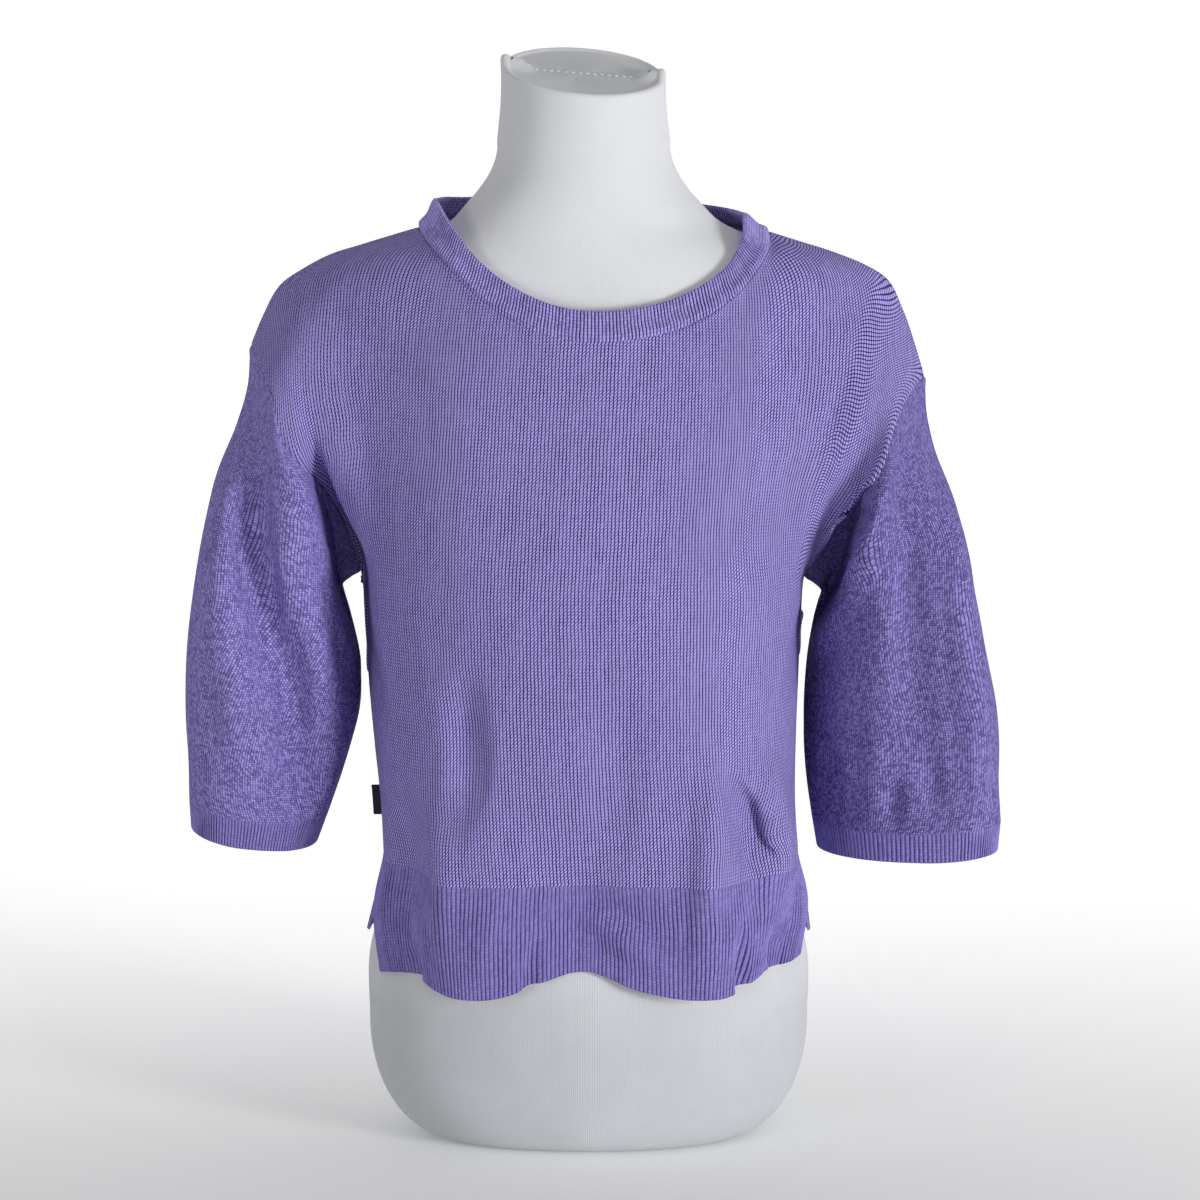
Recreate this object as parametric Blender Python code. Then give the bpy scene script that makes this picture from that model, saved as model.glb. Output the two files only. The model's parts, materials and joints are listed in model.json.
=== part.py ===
"""A cropped, drop-shouldered knit sweater worn by a limbless dress form.

Metres, +Z up. The form stands on z = 0 with its flat underside centred on the origin, and the front of
the sweater faces -Y, so left and right below are as seen from the front.

Every cloth piece is a thin wall. Its outer face is worked out first, as a grid of points whose columns
are the wales of the knit, and its inner face is the same grid moved inwards by the wall's thickness.
Pieces that are sewn together share the points and the slants of their seam, and each then backs off by
half of the seam's gap.
"""

import bmesh
import bpy
import numpy as np

# ---------------------------------------------------------------- driving sizes
WALL = 0.0021  # thickness of the plain knit
RIB_WALL = 0.0026  # thickness of the ribbed hem and cuffs, at a rib's crest
BAND_WALL = 0.0034  # the neckband is folded double
RIB_DEPTH = 0.0008  # how far the grooves between two ribs are sunk
SEAM_GAP = 0.0004  # between two pieces that are sewn together
FORM_CLEARANCE = 0.0028  # least distance from the form to the inside of the cloth

UNDERARM_Z = 0.392
RIB_TOP_Z = 0.197  # the side slits end here too
FRONT_HEM_Z = 0.1195
BACK_HEM_Z = 0.140
CUFF_HEIGHT = 0.020
NECK_TOP_Z = 0.7346  # middle of the slanting top of the form's neck
NECK_TILT = np.radians(13.4)  # the top leans forwards
NECK_ROLL = np.radians(4.5)  # and a little to the right

SHOULDER_CELLS = 7  # columns of cloth from an armhole to the neck
NECK_CELLS = 14  # columns of cloth across the neckline
LOWER_CELLS = 5  # rows from the ribbed hem to the underarm
UPPER_CELLS = 12  # rows from the underarm to the shoulder
SLEEVE_CELLS = 11  # rows down a sleeve
RIBS_INSIDE = 2  # ribs for each column of the plain inside
HEM_RIBS = 4  # ribs for each column of cloth
CUFF_RIBS = 4
BAND_RIBS = 6

KNIT = (0.205, 0.175, 0.445)
KNIT_RIB = (0.185, 0.160, 0.400)
COVER = (0.70, 0.71, 0.74)
LABEL_BLACK = (0.012, 0.012, 0.014)

# ---------------------------------------------------------------- tables
# The form, in level sections: half width, depth to the front, depth to the back, middle in x and y,
# and how square the section is (2 is an ellipse).
FORM_COLUMNS = ("z", "half", "front", "back", "mid_x", "mid_y", "square")
FORM_SECTIONS = (
    (0.080, 0.1530, 0.100, 0.112, 0.000, 0.000, 2.30),
    (0.130, 0.1522, 0.099, 0.114, 0.000, 0.000, 2.30),
    (0.165, 0.1420, 0.096, 0.106, 0.000, 0.000, 2.30),
    (0.200, 0.1315, 0.091, 0.096, 0.000, 0.000, 2.25),
    (0.285, 0.1180, 0.083, 0.079, -0.002, 0.000, 2.20),
    (0.360, 0.1290, 0.096, 0.080, -0.004, 0.000, 2.20),
    (0.415, 0.1400, 0.116, 0.088, -0.004, 0.000, 2.15),
    (0.470, 0.1490, 0.108, 0.096, -0.004, 0.000, 2.15),
    (0.520, 0.1640, 0.096, 0.098, -0.004, 0.000, 2.10),
    (0.555, 0.1830, 0.086, 0.093, -0.004, 0.000, 2.05),
    (0.575, 0.1920, 0.078, 0.086, -0.004, 0.001, 2.00),
    (0.588, 0.1920, 0.073, 0.081, -0.004, 0.002, 2.00),
    (0.598, 0.1820, 0.069, 0.077, -0.003, 0.003, 2.00),
    (0.608, 0.1630, 0.065, 0.073, -0.002, 0.004, 2.00),
    (0.618, 0.1320, 0.062, 0.069, -0.001, 0.005, 2.00),
    (0.630, 0.1000, 0.060, 0.065, -0.002, 0.006, 2.00),
    (0.648, 0.0790, 0.058, 0.061, -0.003, 0.007, 2.00),
    (0.670, 0.0630, 0.057, 0.059, -0.003, 0.008, 2.00),
    (0.695, 0.0572, 0.056, 0.057, -0.003, 0.008, 2.00),
    (0.780, 0.0570, 0.056, 0.056, -0.003, 0.008, 2.00),
)
BASE_ROUND_ACROSS = 0.050  # the underside rounds in by this much
BASE_ROUND_UP = 0.080  # over this height
FORM_AROUND = 32
FORM_LEVELS = ((0.080, 0.545, 12), (0.545, 0.660, 11), (0.660, 0.712, 3))  # low, high, rows

# The sweater's body below the arms: where its two sides lie, its depths and how square it is.
BODY_COLUMNS = ("z", "left", "right", "front", "back", "square")
BODY_SECTIONS = (
    (0.120, -0.1530, 0.1560, 0.1120, 0.1260, 2.45),
    (0.160, -0.1500, 0.1530, 0.1130, 0.1240, 2.45),
    (0.200, -0.1420, 0.1450, 0.1150, 0.1200, 2.45),
    (0.241, -0.1445, 0.1430, 0.1165, 0.1160, 2.45),
    (0.298, -0.1500, 0.1440, 0.1190, 0.1130, 2.45),
    (0.354, -0.1535, 0.1460, 0.1220, 0.1110, 2.45),
    (0.394, -0.1560, 0.1480, 0.1250, 0.1110, 2.45),
    (0.430, -0.1600, 0.1500, 0.1255, 0.1110, 2.45),
)

# Folds of the body, one a row: where the fold lies across a panel (-1 to 1) at its lower end, how much
# that place moves to the right for each metre up, its half width, its lower and upper ends, and how far
# it stands out, or in below 0. fade is the share of its length over which it dies out upwards.
FOLD_COLUMNS = ("across", "lean", "width", "low", "high", "height", "fade")
FRONT_FOLDS = (
    (-0.40, 0.00, 0.26, 0.060, 0.350, 0.0110, 0.60),
    (0.37, 0.25, 0.22, 0.060, 0.330, 0.0120, 0.60),
    (-0.02, 0.00, 0.22, 0.060, 0.280, -0.0120, 0.60),
    (-0.72, 0.10, 0.14, 0.060, 0.270, -0.0060, 0.60),
    (0.70, 0.30, 0.13, 0.060, 0.310, -0.0070, 0.60),
)
BACK_FOLDS = (
    (-0.52, 0.10, 0.26, 0.060, 0.420, 0.0090, 0.60),
    (0.50, -0.15, 0.28, 0.060, 0.440, 0.0095, 0.60),
    (0.00, 0.05, 0.26, 0.060, 0.380, -0.0060, 0.60),
)
# How far the front hem's edge rides up, across the panel.
HEM_COLUMNS = ("across", "up")
FRONT_HEM_EDGE = (
    (-1.00, 0.0050),
    (-0.62, 0.0080),
    (-0.45, 0.0010),
    (-0.28, 0.0015),
    (-0.15, 0.0110),
    (-0.02, 0.0180),
    (0.13, 0.0070),
    (0.27, 0.0010),
    (0.42, 0.0010),
    (0.60, 0.0090),
    (0.78, 0.0140),
    (1.00, 0.0170),
)
SLIT_FRONT = 0.24  # share of the half width by which the front hem draws away from each slit
SLIT_BACK = 0.02

# The armhole seams, from the underarm up to the end of the shoulder seam, by share of their length.
ARMHOLE_COLUMNS = ("share", "left_x", "left_z", "right_x", "right_z", "front_y", "back_y")
ARMHOLE_SEAM = (
    (0.00, -0.1560, 0.392, 0.1480, 0.388, 0.004, 0.004),
    (0.18, -0.1680, 0.430, 0.1600, 0.418, -0.040, 0.046),
    (0.36, -0.1860, 0.468, 0.1760, 0.446, -0.066, 0.072),
    (0.54, -0.2050, 0.497, 0.1960, 0.473, -0.075, 0.083),
    (0.72, -0.2125, 0.527, 0.2055, 0.501, -0.067, 0.073),
    (0.87, -0.2210, 0.543, 0.2165, 0.519, -0.040, 0.045),
    (1.00, -0.2310, 0.551, 0.2304, 0.530, 0.000, 0.000),
)

# The line of the shoulders, from the neck out to the armholes: share of the way, and its points.
SHOULDER_COLUMNS = ("share", "left_x", "left_z", "right_x", "right_z", "y")
SHOULDER_LINE = (
    (0.00, -0.1160, 0.6300, 0.1240, 0.6275, 0.006),
    (0.22, -0.1474, 0.6215, 0.1570, 0.6160, 0.006),
    (0.36, -0.1658, 0.6150, 0.1782, 0.6097, 0.005),
    (0.49, -0.1843, 0.6080, 0.1970, 0.6025, 0.005),
    (0.58, -0.1965, 0.6025, 0.2065, 0.5940, 0.004),
    (0.66, -0.2069, 0.5975, 0.2122, 0.5830, 0.004),
    (0.75, -0.2145, 0.5865, 0.2178, 0.5700, 0.003),
    (0.88, -0.2244, 0.5675, 0.2243, 0.5505, 0.002),
    (1.00, -0.2310, 0.5510, 0.2304, 0.5300, 0.000),
)
SOFT_GREATEST = 3.0  # the lower, the rounder
NECK_SHARE = 0.445  # of a panel's half width, where the neckline ends
NECK_DROP_FRONT = 0.066
NECK_DROP_BACK = 0.003
NECK_FRONT_Y = -0.094
NECK_BACK_Y = 0.084
# The neckband leans in and stands up from its seam, at shares of the way round from the left by the
# front to the right and by the back to the left again.
BAND_COLUMNS = ("share", "inward", "up")
BAND_LEAN = (
    (0.000, 0.0120, 0.0210),
    (0.125, 0.0110, 0.0205),
    (0.250, 0.0090, 0.0210),
    (0.375, 0.0125, 0.0190),
    (0.500, 0.0180, 0.0140),
    (0.625, 0.0130, 0.0180),
    (0.750, 0.0070, 0.0220),
    (0.875, 0.0100, 0.0210),
    (1.000, 0.0120, 0.0210),
)

# The sleeves in level sections: their outer and inner sides, and their depths front and back.
SLEEVE_COLUMNS = ("z", "outer", "inner", "front", "back")
LEFT_SLEEVE = (
    (0.195, -0.2735, -0.1920, 0.0490, 0.0470),
    (0.241, -0.2757, -0.1750, 0.0570, 0.0560),
    (0.269, -0.2757, -0.1660, 0.0620, 0.0610),
    (0.298, -0.2769, -0.1590, 0.0655, 0.0660),
    (0.326, -0.2765, -0.1590, 0.0675, 0.0700),
    (0.354, -0.2746, -0.1640, 0.0690, 0.0735),
    (0.385, -0.2705, -0.1710, 0.0705, 0.0765),
    (0.420, -0.2645, -0.1740, 0.0720, 0.0785),
    (0.460, -0.2555, -0.1770, 0.0730, 0.0790),
    (0.500, -0.2465, -0.1830, 0.0725, 0.0760),
    (0.530, -0.2405, -0.1880, 0.0640, 0.0660),
    (0.560, -0.2320, -0.1950, 0.0480, 0.0480),
)
RIGHT_SLEEVE = (
    (0.185, 0.2800, 0.1620, 0.0410, 0.0370),
    (0.227, 0.2840, 0.1550, 0.0480, 0.0430),
    (0.255, 0.2820, 0.1515, 0.0535, 0.0500),
    (0.298, 0.2811, 0.1510, 0.0600, 0.0590),
    (0.326, 0.2758, 0.1530, 0.0635, 0.0640),
    (0.354, 0.2699, 0.1570, 0.0660, 0.0690),
    (0.382, 0.2626, 0.1620, 0.0685, 0.0730),
    (0.410, 0.2581, 0.1655, 0.0700, 0.0760),
    (0.450, 0.2490, 0.1680, 0.0710, 0.0770),
    (0.490, 0.2405, 0.1730, 0.0680, 0.0730),
    (0.520, 0.2350, 0.1800, 0.0560, 0.0600),
    (0.543, 0.2300, 0.1860, 0.0420, 0.0440),
)
SLEEVE_SQUARE = 2.25
# Shares of a sleeve's length over which it turns from the armhole to its own section: at the outside,
# and under the arm, where it leaves the body almost level.
TURN_OUTSIDE, TURN_UNDERARM = 0.30, 0.16
LEVEL_UNDERARM = 0.7
# The height of the cuffs' lower edges, at four places round them.
CUFF_EDGE_COLUMNS = ("inner", "front", "outer", "back")
LEFT_CUFF_EDGE = (0.2030, 0.2040, 0.2200, 0.2120)
RIGHT_CUFF_EDGE = (0.1960, 0.1930, 0.2060, 0.2030)
# Folds of the sleeves: turn is the way round from under the arm, by the front.
SLEEVE_FOLD_COLUMNS = ("turn", "lean", "width", "low", "high", "height", "fade")
LEFT_SLEEVE_FOLDS = (
    (0.16, 0.60, 0.065, 0.215, 0.540, -0.0130, 0.30),
    (0.10, 0.50, 0.065, 0.215, 0.520, 0.0060, 0.40),
    (0.69, 0.10, 0.09, 0.215, 0.500, -0.0070, 0.40),
    (0.81, 0.00, 0.08, 0.215, 0.500, 0.0050, 0.40),
)
RIGHT_SLEEVE_FOLDS = (
    (0.17, 0.20, 0.070, 0.240, 0.510, 0.0070, 0.40),
    (0.06, 1.60, 0.060, 0.355, 0.480, -0.0080, 0.50),
    (0.30, 0.10, 0.060, 0.205, 0.480, -0.0045, 0.40),
    (0.69, 0.10, 0.09, 0.205, 0.500, -0.0070, 0.40),
    (0.81, 0.00, 0.08, 0.205, 0.500, 0.0050, 0.40),
)

# The folded label in the left side seam.
LABEL_LOW_Z = 0.223
LABEL_HEIGHT = 0.021
LABEL_OUT = 0.0058  # how far it shows beyond the seam
LABEL_WALL = 0.0012


# ---------------------------------------------------------------- working out shapes
def read(rows, names, at, *wanted):
    """The wanted columns of a table at these parameters, on a smooth curve through its rows.

    Between two rows the curve is a cubic whose slope at each row is that of the row's neighbours."""
    table = np.array(rows, float)
    x, y = table[:, 0], table[:, [names.index(name) for name in wanted]]
    slope = np.gradient(y, x, axis=0)
    at = np.clip(np.asarray(at, float), x[0], x[-1])
    i = np.clip(np.searchsorted(x, at, side="right") - 1, 0, len(x) - 2)
    h = (x[i + 1] - x[i])[..., None]
    t = ((at - x[i]) / (x[i + 1] - x[i]))[..., None]
    found = (2 * t**3 - 3 * t**2 + 1) * y[i] + (t**3 - 2 * t**2 + t) * h * slope[i]
    found = found + (3 * t**2 - 2 * t**3) * y[i + 1] + (t**3 - t**2) * h * slope[i + 1]
    return [found[..., k] for k in range(len(wanted))]


def unit(vectors):
    return vectors / np.maximum(np.linalg.norm(vectors, axis=-1, keepdims=True), 1e-12)


def ease(t):
    """0 before 0, 1 after 1, and a smooth step between."""
    t = np.clip(t, 0, 1)
    return t * t * (3 - 2 * t)


def bump(t):
    """1 at 0, falling smoothly to 0 at -1 and at 1."""
    return ease(1 - np.abs(t))


def superellipse(angle, half, depth, square):
    """A point of a rounded section: angle 0 lies across it, a quarter turn lies along its depth."""
    power = 2 / square
    across = half * np.sign(np.cos(angle)) * np.abs(np.cos(angle)) ** power
    along = depth * np.sign(np.sin(angle)) * np.abs(np.sin(angle)) ** power
    return across, along


def fold_height(place, z, folds):
    """How far the folds of a table stand out at these places and heights."""
    out = np.zeros(np.broadcast(place, z).shape)
    for centre, lean, width, low, high, height, fade in folds:
        upwards = ease((high - z) / (fade * (high - low)))
        out += height * upwards * ease((z - low) / 0.03) * bump((place - centre - lean * (z - low)) / width)
    return out


# ---------------------------------------------------------------- the form
def form_sizes(z):
    """The form's section at height z, with its rounded underside."""
    half, front, back, mid_x, mid_y, square = read(FORM_SECTIONS, FORM_COLUMNS, z, *FORM_COLUMNS[1:])
    below = np.clip(1 - np.asarray(z) / BASE_ROUND_UP, 0, 1)
    inset = BASE_ROUND_ACROSS * (1 - np.sqrt(1 - below**2))
    return half - inset, front - 0.7 * inset, back - 0.7 * inset, mid_x, mid_y, square


def form_level(points):
    """1 on the form's surface, less inside and more outside: a point's reach over the section's."""
    half, front, back, mid_x, mid_y, square = form_sizes(points[..., 2])
    x = np.abs(points[..., 0] - mid_x) / half
    y = points[..., 1] - mid_y
    y = np.where(y < 0, -y / front, y / back)
    return (x**square + y**square + 1e-12) ** (1 / square)


def off_the_form(points, clearance):
    """Moves points that lie nearer to the form than the clearance straight out from its surface."""
    points = np.array(points, float)
    step = 1e-4
    for _ in range(12):
        level = form_level(points)
        slope = np.stack(
            [(form_level(points + step * axis) - level) / step for axis in np.eye(3)], axis=-1
        )
        steep = np.linalg.norm(slope, axis=-1)
        short = np.clip(clearance - (level - 1) / steep, 0, 0.006)
        points += (short / steep)[..., None] * slope
    return points


def build_form():
    """The limbless form: level sections from its flat underside to the slanting top of its neck."""
    heights = list(BASE_ROUND_UP * (1 - np.cos(np.linspace(0, np.pi / 2, 6)[:-1])))
    for low, high, rows in FORM_LEVELS:
        heights += list(np.linspace(low, high, rows, endpoint=False))
    angle = np.linspace(0, 2 * np.pi, FORM_AROUND, endpoint=False)
    rings = []
    for z in heights + [NECK_TOP_Z]:
        half, front, back, mid_x, mid_y, square = form_sizes(z)
        x, y = superellipse(angle, half, np.where(np.sin(angle) < 0, front, back), square)
        rise = np.tan(NECK_TILT) * y - np.tan(NECK_ROLL) * x if z == NECK_TOP_Z else 0 * x
        rings.append(np.stack([x + mid_x, y + mid_y, z + rise], axis=-1))
    mesh = bmesh.new()
    rows = [[mesh.verts.new(point) for point in ring] for ring in rings]
    for lower, upper in zip(rows, rows[1:]):
        bridge(mesh, lower, upper, True)
    mesh.faces.new(rows[0])
    mesh.faces.new(rows[-1])
    return finish(mesh, "form_torso", COVER, 0.75)


# ---------------------------------------------------------------- the outer face of the body
def panel_columns():
    """Where the columns of a panel lie across it, from -1 at its left side to 1 at its right."""
    shoulder = np.linspace(NECK_SHARE, 1, SHOULDER_CELLS + 1)
    neck = np.linspace(-NECK_SHARE, NECK_SHARE, NECK_CELLS + 1)
    return np.concatenate([-shoulder[:0:-1], neck, shoulder[1:]])


def body_row(columns, z, face, slit=0.0):
    """A level row of the body: face is -1 for the front and 1 for the back.

    slit, from 0 to 1, is how far the row is drawn in from the two side slits."""
    left, right, front, back, square = read(BODY_SECTIONS, BODY_COLUMNS, z, *BODY_COLUMNS[1:])
    fine = np.linspace(np.pi, 0, 181)
    x, y = superellipse(fine, (right - left) / 2, front if face < 0 else back, square)
    length = np.concatenate([[0], np.cumsum(np.hypot(np.diff(x), np.diff(y)))])
    length = 2 * length / length[-1] - 1
    drawn = columns * (1 - (SLIT_FRONT if face < 0 else SLIT_BACK) * slit * np.abs(columns) ** 2)
    x, y = np.interp(drawn, length, x), face * np.interp(drawn, length, y)
    out = fold_height(columns, z, FRONT_FOLDS if face < 0 else BACK_FOLDS)
    away = unit(np.stack([x, 1.5 * y], axis=-1)) * out[:, None]
    return np.stack([x + away[:, 0] + (left + right) / 2, y + away[:, 1], np.full_like(x, z)], axis=-1)


def armhole(share, side, face):
    """Points of the front or back half of an armhole's seam."""
    depth = "front_y" if face < 0 else "back_y"
    x, z, y = read(ARMHOLE_SEAM, ARMHOLE_COLUMNS, share, side + "_x", side + "_z", depth)
    return np.stack([x, y, z], axis=-1)


def shoulder_line(share, side):
    x, z, y = read(SHOULDER_LINE, SHOULDER_COLUMNS, share, side + "_x", side + "_z", "y")
    return np.stack([x, y, z], axis=-1)


def neckline(across, face):
    """Points of the neck's seam: across runs from -1 at its left end to 1 at its right end."""
    left, right = shoulder_line(0.0, "left"), shoulder_line(0.0, "right")
    along = (across[:, None] + 1) / 2
    line = (1 - along) * left + along * right
    t = np.abs(across)
    if face < 0:
        # It falls in a shallower curve from the left than from the right.
        dip = NECK_DROP_FRONT * (1 - t**2) ** np.where(across < 0, 0.95, 0.54)
        round_in, depth = (1 - t**2.1) ** 0.52, NECK_FRONT_Y
    else:
        dip = NECK_DROP_BACK * (1 - t**2)
        round_in, depth = (1 - t**2.1) ** 0.52, NECK_BACK_Y
    line[:, 1] += (depth - line[:, 1]) * round_in
    line[:, 2] -= dip
    return line


def top_edge(columns, face):
    """The upper edge of a panel: left shoulder, neckline, right shoulder."""
    place = np.clip(columns / NECK_SHARE, -1, 1)
    place = 0.35 * place + 0.65 * np.sin(np.pi / 2 * place)  # closer together where the neck turns
    edge = neckline(place, face)
    out = (np.abs(columns) - NECK_SHARE) / (1 - NECK_SHARE)
    for side, of_side in (("left", columns < -NECK_SHARE), ("right", columns > NECK_SHARE)):
        edge[of_side] = shoulder_line(out[of_side], side)
    return edge


def upper_rows(columns, base, face):
    """Rows from the underarm to the shoulder, between a level row and the panel's upper edge.

    The middle columns rise almost straight; outer ones stay at their depth and turn in over the
    shoulder. Near the sides each column follows the armhole's seam, and a row's depth there is a
    rounded greatest of its own and the seam's."""
    edge = top_edge(columns, face)
    even = np.linspace(0, 1, UPPER_CELLS + 1)
    left, right = armhole(even, "left", face), armhole(even, "right", face)
    turn = ease(np.abs(columns) / NECK_SHARE)
    near_left, near_right = ease((-columns - 0.30) / 0.70), ease((columns - 0.30) / 0.70)
    # Heights that space the rows evenly along a quarter of an ellipse, as tall as the armhole.
    fine = np.linspace(0, np.pi / 2, 181)
    up, over = np.sin(fine), 0.45 * np.cos(fine)
    length = np.concatenate([[0], np.cumsum(np.hypot(np.diff(up), np.diff(over)))])
    heights = np.interp(even * length[-1], length, up)
    rows = []
    for k, share in enumerate(heights[1:], 1):
        row = (1 - share) * base + share * edge
        depth = (1 - turn) * share + turn * (1 - np.sqrt(max(1 - share**2, 0)))
        own = np.abs(base[:, 1] + (edge[:, 1] - base[:, 1]) * depth)
        near = near_left[:, None] * (left[k] - row[0]) + near_right[:, None] * (right[k] - row[-1])
        side = near_left * abs(left[k, 1]) + near_right * abs(right[k, 1])
        row += near
        row[:, 1] = face * (own**SOFT_GREATEST + side**SOFT_GREATEST) ** (1 / SOFT_GREATEST)
        rows.append(row)
    rows[-1] = edge
    return rows


def relax(grid, times, weight=0.5):
    """Rounds a grid: each inner point moves towards the mean of its four neighbours."""
    for _ in range(times):
        near = grid[:-2, 1:-1] + grid[2:, 1:-1] + grid[1:-1, :-2] + grid[1:-1, 2:]
        grid[1:-1, 1:-1] += weight * (near / 4 - grid[1:-1, 1:-1])
    return grid


def body_grids(face):
    """The outer face of the front or back: its ribbed hem, and the rest of the panel above it."""
    columns = panel_columns()
    hem_z = FRONT_HEM_Z if face < 0 else BACK_HEM_Z
    hem = []
    for share in (1.0, 0.5, 0.0):
        row = body_row(columns, RIB_TOP_Z + (hem_z - RIB_TOP_Z) * share, face, share**1.5)
        if face < 0:
            row[:, 2] += share * read(FRONT_HEM_EDGE, HEM_COLUMNS, columns, "up")[0]
        hem.append(row)
    rows = [body_row(columns, z, face) for z in np.linspace(RIB_TOP_Z, UNDERARM_Z, LOWER_CELLS + 1)]
    rows[-1][0], rows[-1][-1] = armhole(0.0, "left", face), armhole(0.0, "right", face)
    rows += upper_rows(columns, rows[-1], face)
    panel = off_the_form(np.array(rows), WALL + FORM_CLEARANCE)
    panel[LOWER_CELLS:] = relax(panel[LOWER_CELLS:].copy(), 6)
    panel = off_the_form(panel, WALL + FORM_CLEARANCE)
    panel[-1] = off_the_form(panel[-1], BAND_WALL + FORM_CLEARANCE)
    hem = off_the_form(np.array(hem), RIB_WALL + FORM_CLEARANCE)
    hem[-1] = panel[0] = off_the_form(panel[0], RIB_WALL + FORM_CLEARANCE)
    return hem, panel


# ---------------------------------------------------------------- the outer face of the sleeves
def sleeve_angles():
    """Angles that space the points of a sleeve's typical section evenly, starting under the arm."""
    fine = np.linspace(0, 2 * np.pi, 721)
    x, y = superellipse(fine, 0.055, 0.066, SLEEVE_SQUARE)
    length = np.concatenate([[0], np.cumsum(np.hypot(np.diff(x), np.diff(y)))])
    count = 2 * UPPER_CELLS
    return np.interp(np.arange(count) / count * length[-1], length, fine)


def sleeve_row(angle, z, side):
    """The sleeve's own section, each point of it at its own height."""
    rows, folds = (LEFT_SLEEVE, LEFT_SLEEVE_FOLDS) if side == "left" else (RIGHT_SLEEVE, RIGHT_SLEEVE_FOLDS)
    outer, inner, fore, aft = read(rows, SLEEVE_COLUMNS, z, *SLEEVE_COLUMNS[1:])
    x, y = superellipse(angle, (inner - outer) / 2, np.where(np.sin(angle) > 0, fore, aft), SLEEVE_SQUARE)
    turn = np.arange(len(angle)) / len(angle)
    out = fold_height(turn, z, folds)[:, None] * unit(np.stack([x, y], axis=-1))
    return np.stack([x + out[:, 0] + (inner + outer) / 2, -y - out[:, 1], z], axis=-1)


def sleeve_grids(side):
    """The outer face of a sleeve, from the armhole down to its ribbing, and that of the ribbing.

    A row starts under the arm and runs by the front to the outside, then by the back."""
    inner, fore, outer, aft = LEFT_CUFF_EDGE if side == "left" else RIGHT_CUFF_EDGE
    shares = np.linspace(0, 1, UPPER_CELLS + 1)
    seam = np.concatenate([armhole(shares, side, -1), armhole(shares, side, 1)[-2:0:-1]])
    angle = sleeve_angles()
    middle, tilt = (inner + outer) / 2, (inner - outer) / 2
    swing = np.where(np.sin(angle) > 0, fore, aft) - middle
    cuff_z = middle + tilt * np.cos(angle) + swing * np.sin(angle) ** 2
    rib_z = cuff_z + CUFF_HEIGHT
    sleeve = []
    under = np.cos(angle / 2) ** 8
    for share in np.linspace(0, 1, SLEEVE_CELLS + 1):
        z = seam[:, 2] + (rib_z - seam[:, 2]) * share ** (1 + LEVEL_UNDERARM * under)
        taken = ease(share / (TURN_OUTSIDE + (TURN_UNDERARM - TURN_OUTSIDE) * under))[:, None]
        row = taken * sleeve_row(angle, z, side) + (1 - taken) * seam
        row[:, 2] = z
        sleeve.append(row)
    cuff = [sleeve_row(angle, z, side) for z in (cuff_z, rib_z)]
    cuff[-1] = sleeve[-1]
    return np.array(cuff), np.array(sleeve)


# ---------------------------------------------------------------- the neckband's outer face
def neckband_grid(seam):
    """Rows of the neckband from its seam up to just under its fold."""
    share = np.arange(len(seam)) / len(seam)
    inward, up = read(BAND_LEAN, BAND_COLUMNS, share, "inward", "up")
    middle = seam.mean(axis=0)
    towards = middle - seam
    towards[:, 2] = 0
    along = np.roll(seam, -1, axis=0) - np.roll(seam, 1, axis=0)
    along[:, 2] = 0
    along = unit(along)
    towards = unit(towards - (towards * along).sum(-1, keepdims=True) * along)
    lean = towards * inward[:, None]
    lean[:, 2] = up
    return np.array([seam, off_the_form(seam + 0.90 * lean, BAND_WALL + FORM_CLEARANCE)])


# ---------------------------------------------------------------- slants and seams
def add_normals(store, grid, wrap, turn):
    """Adds the normals of a grid's cells to the points they touch; turn makes them point outwards."""
    wide = np.concatenate([grid, grid[:, :1]], axis=1) if wrap else grid
    across = (wide[:-1, 1:] - wide[:-1, :-1] + wide[1:, 1:] - wide[1:, :-1]) / 2
    along = (wide[1:, :-1] - wide[:-1, :-1] + wide[1:, 1:] - wide[:-1, 1:]) / 2
    cell = turn * unit(np.cross(across, along))
    for rows in (np.s_[:-1], np.s_[1:]):
        for columns in (np.s_[:-1], np.s_[1:]):
            for point, normal in zip(wide[rows, columns].reshape(-1, 3), cell.reshape(-1, 3)):
                key = tuple(np.round(point, 6))
                store[key] = store.get(key, np.zeros(3)) + normal


def normals_of(store, grid):
    flat = [store[tuple(np.round(point, 6))] for point in grid.reshape(-1, 3)]
    return unit(np.array(flat)).reshape(grid.shape)


def seam_moves(grid, normal, edges):
    """How far each point on the named edges backs off from its seam, within the cloth."""
    moves = np.zeros_like(grid)
    for edge in (name for name in edges if name != "ring"):
        near, far = {
            "left": (np.s_[:, 0], np.s_[:, 1]),
            "right": (np.s_[:, -1], np.s_[:, -2]),
            "first": (np.s_[0], np.s_[1]),
            "last": (np.s_[-1], np.s_[-2]),
        }[edge]
        line, inward = grid[near], grid[far] - grid[near]
        wrapped = edge in ("first", "last") and "ring" in edges
        along = np.roll(line, -1, 0) - np.roll(line, 1, 0) if wrapped else np.gradient(line, axis=0)
        off = unit(np.cross(normal[near], along))
        off *= np.sign((off * inward).sum(-1, keepdims=True))
        moves[near] += off * SEAM_GAP / 2
    return moves


# ---------------------------------------------------------------- solids
def patch(mesh, a, b, c, d, first):
    """Two triangles for a patch with these corners, parted from a to c if first, else from b to d."""
    for corners in ((a, b, c), (a, c, d)) if first else ((a, b, d), (b, c, d)):
        mesh.faces.new(corners)


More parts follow.
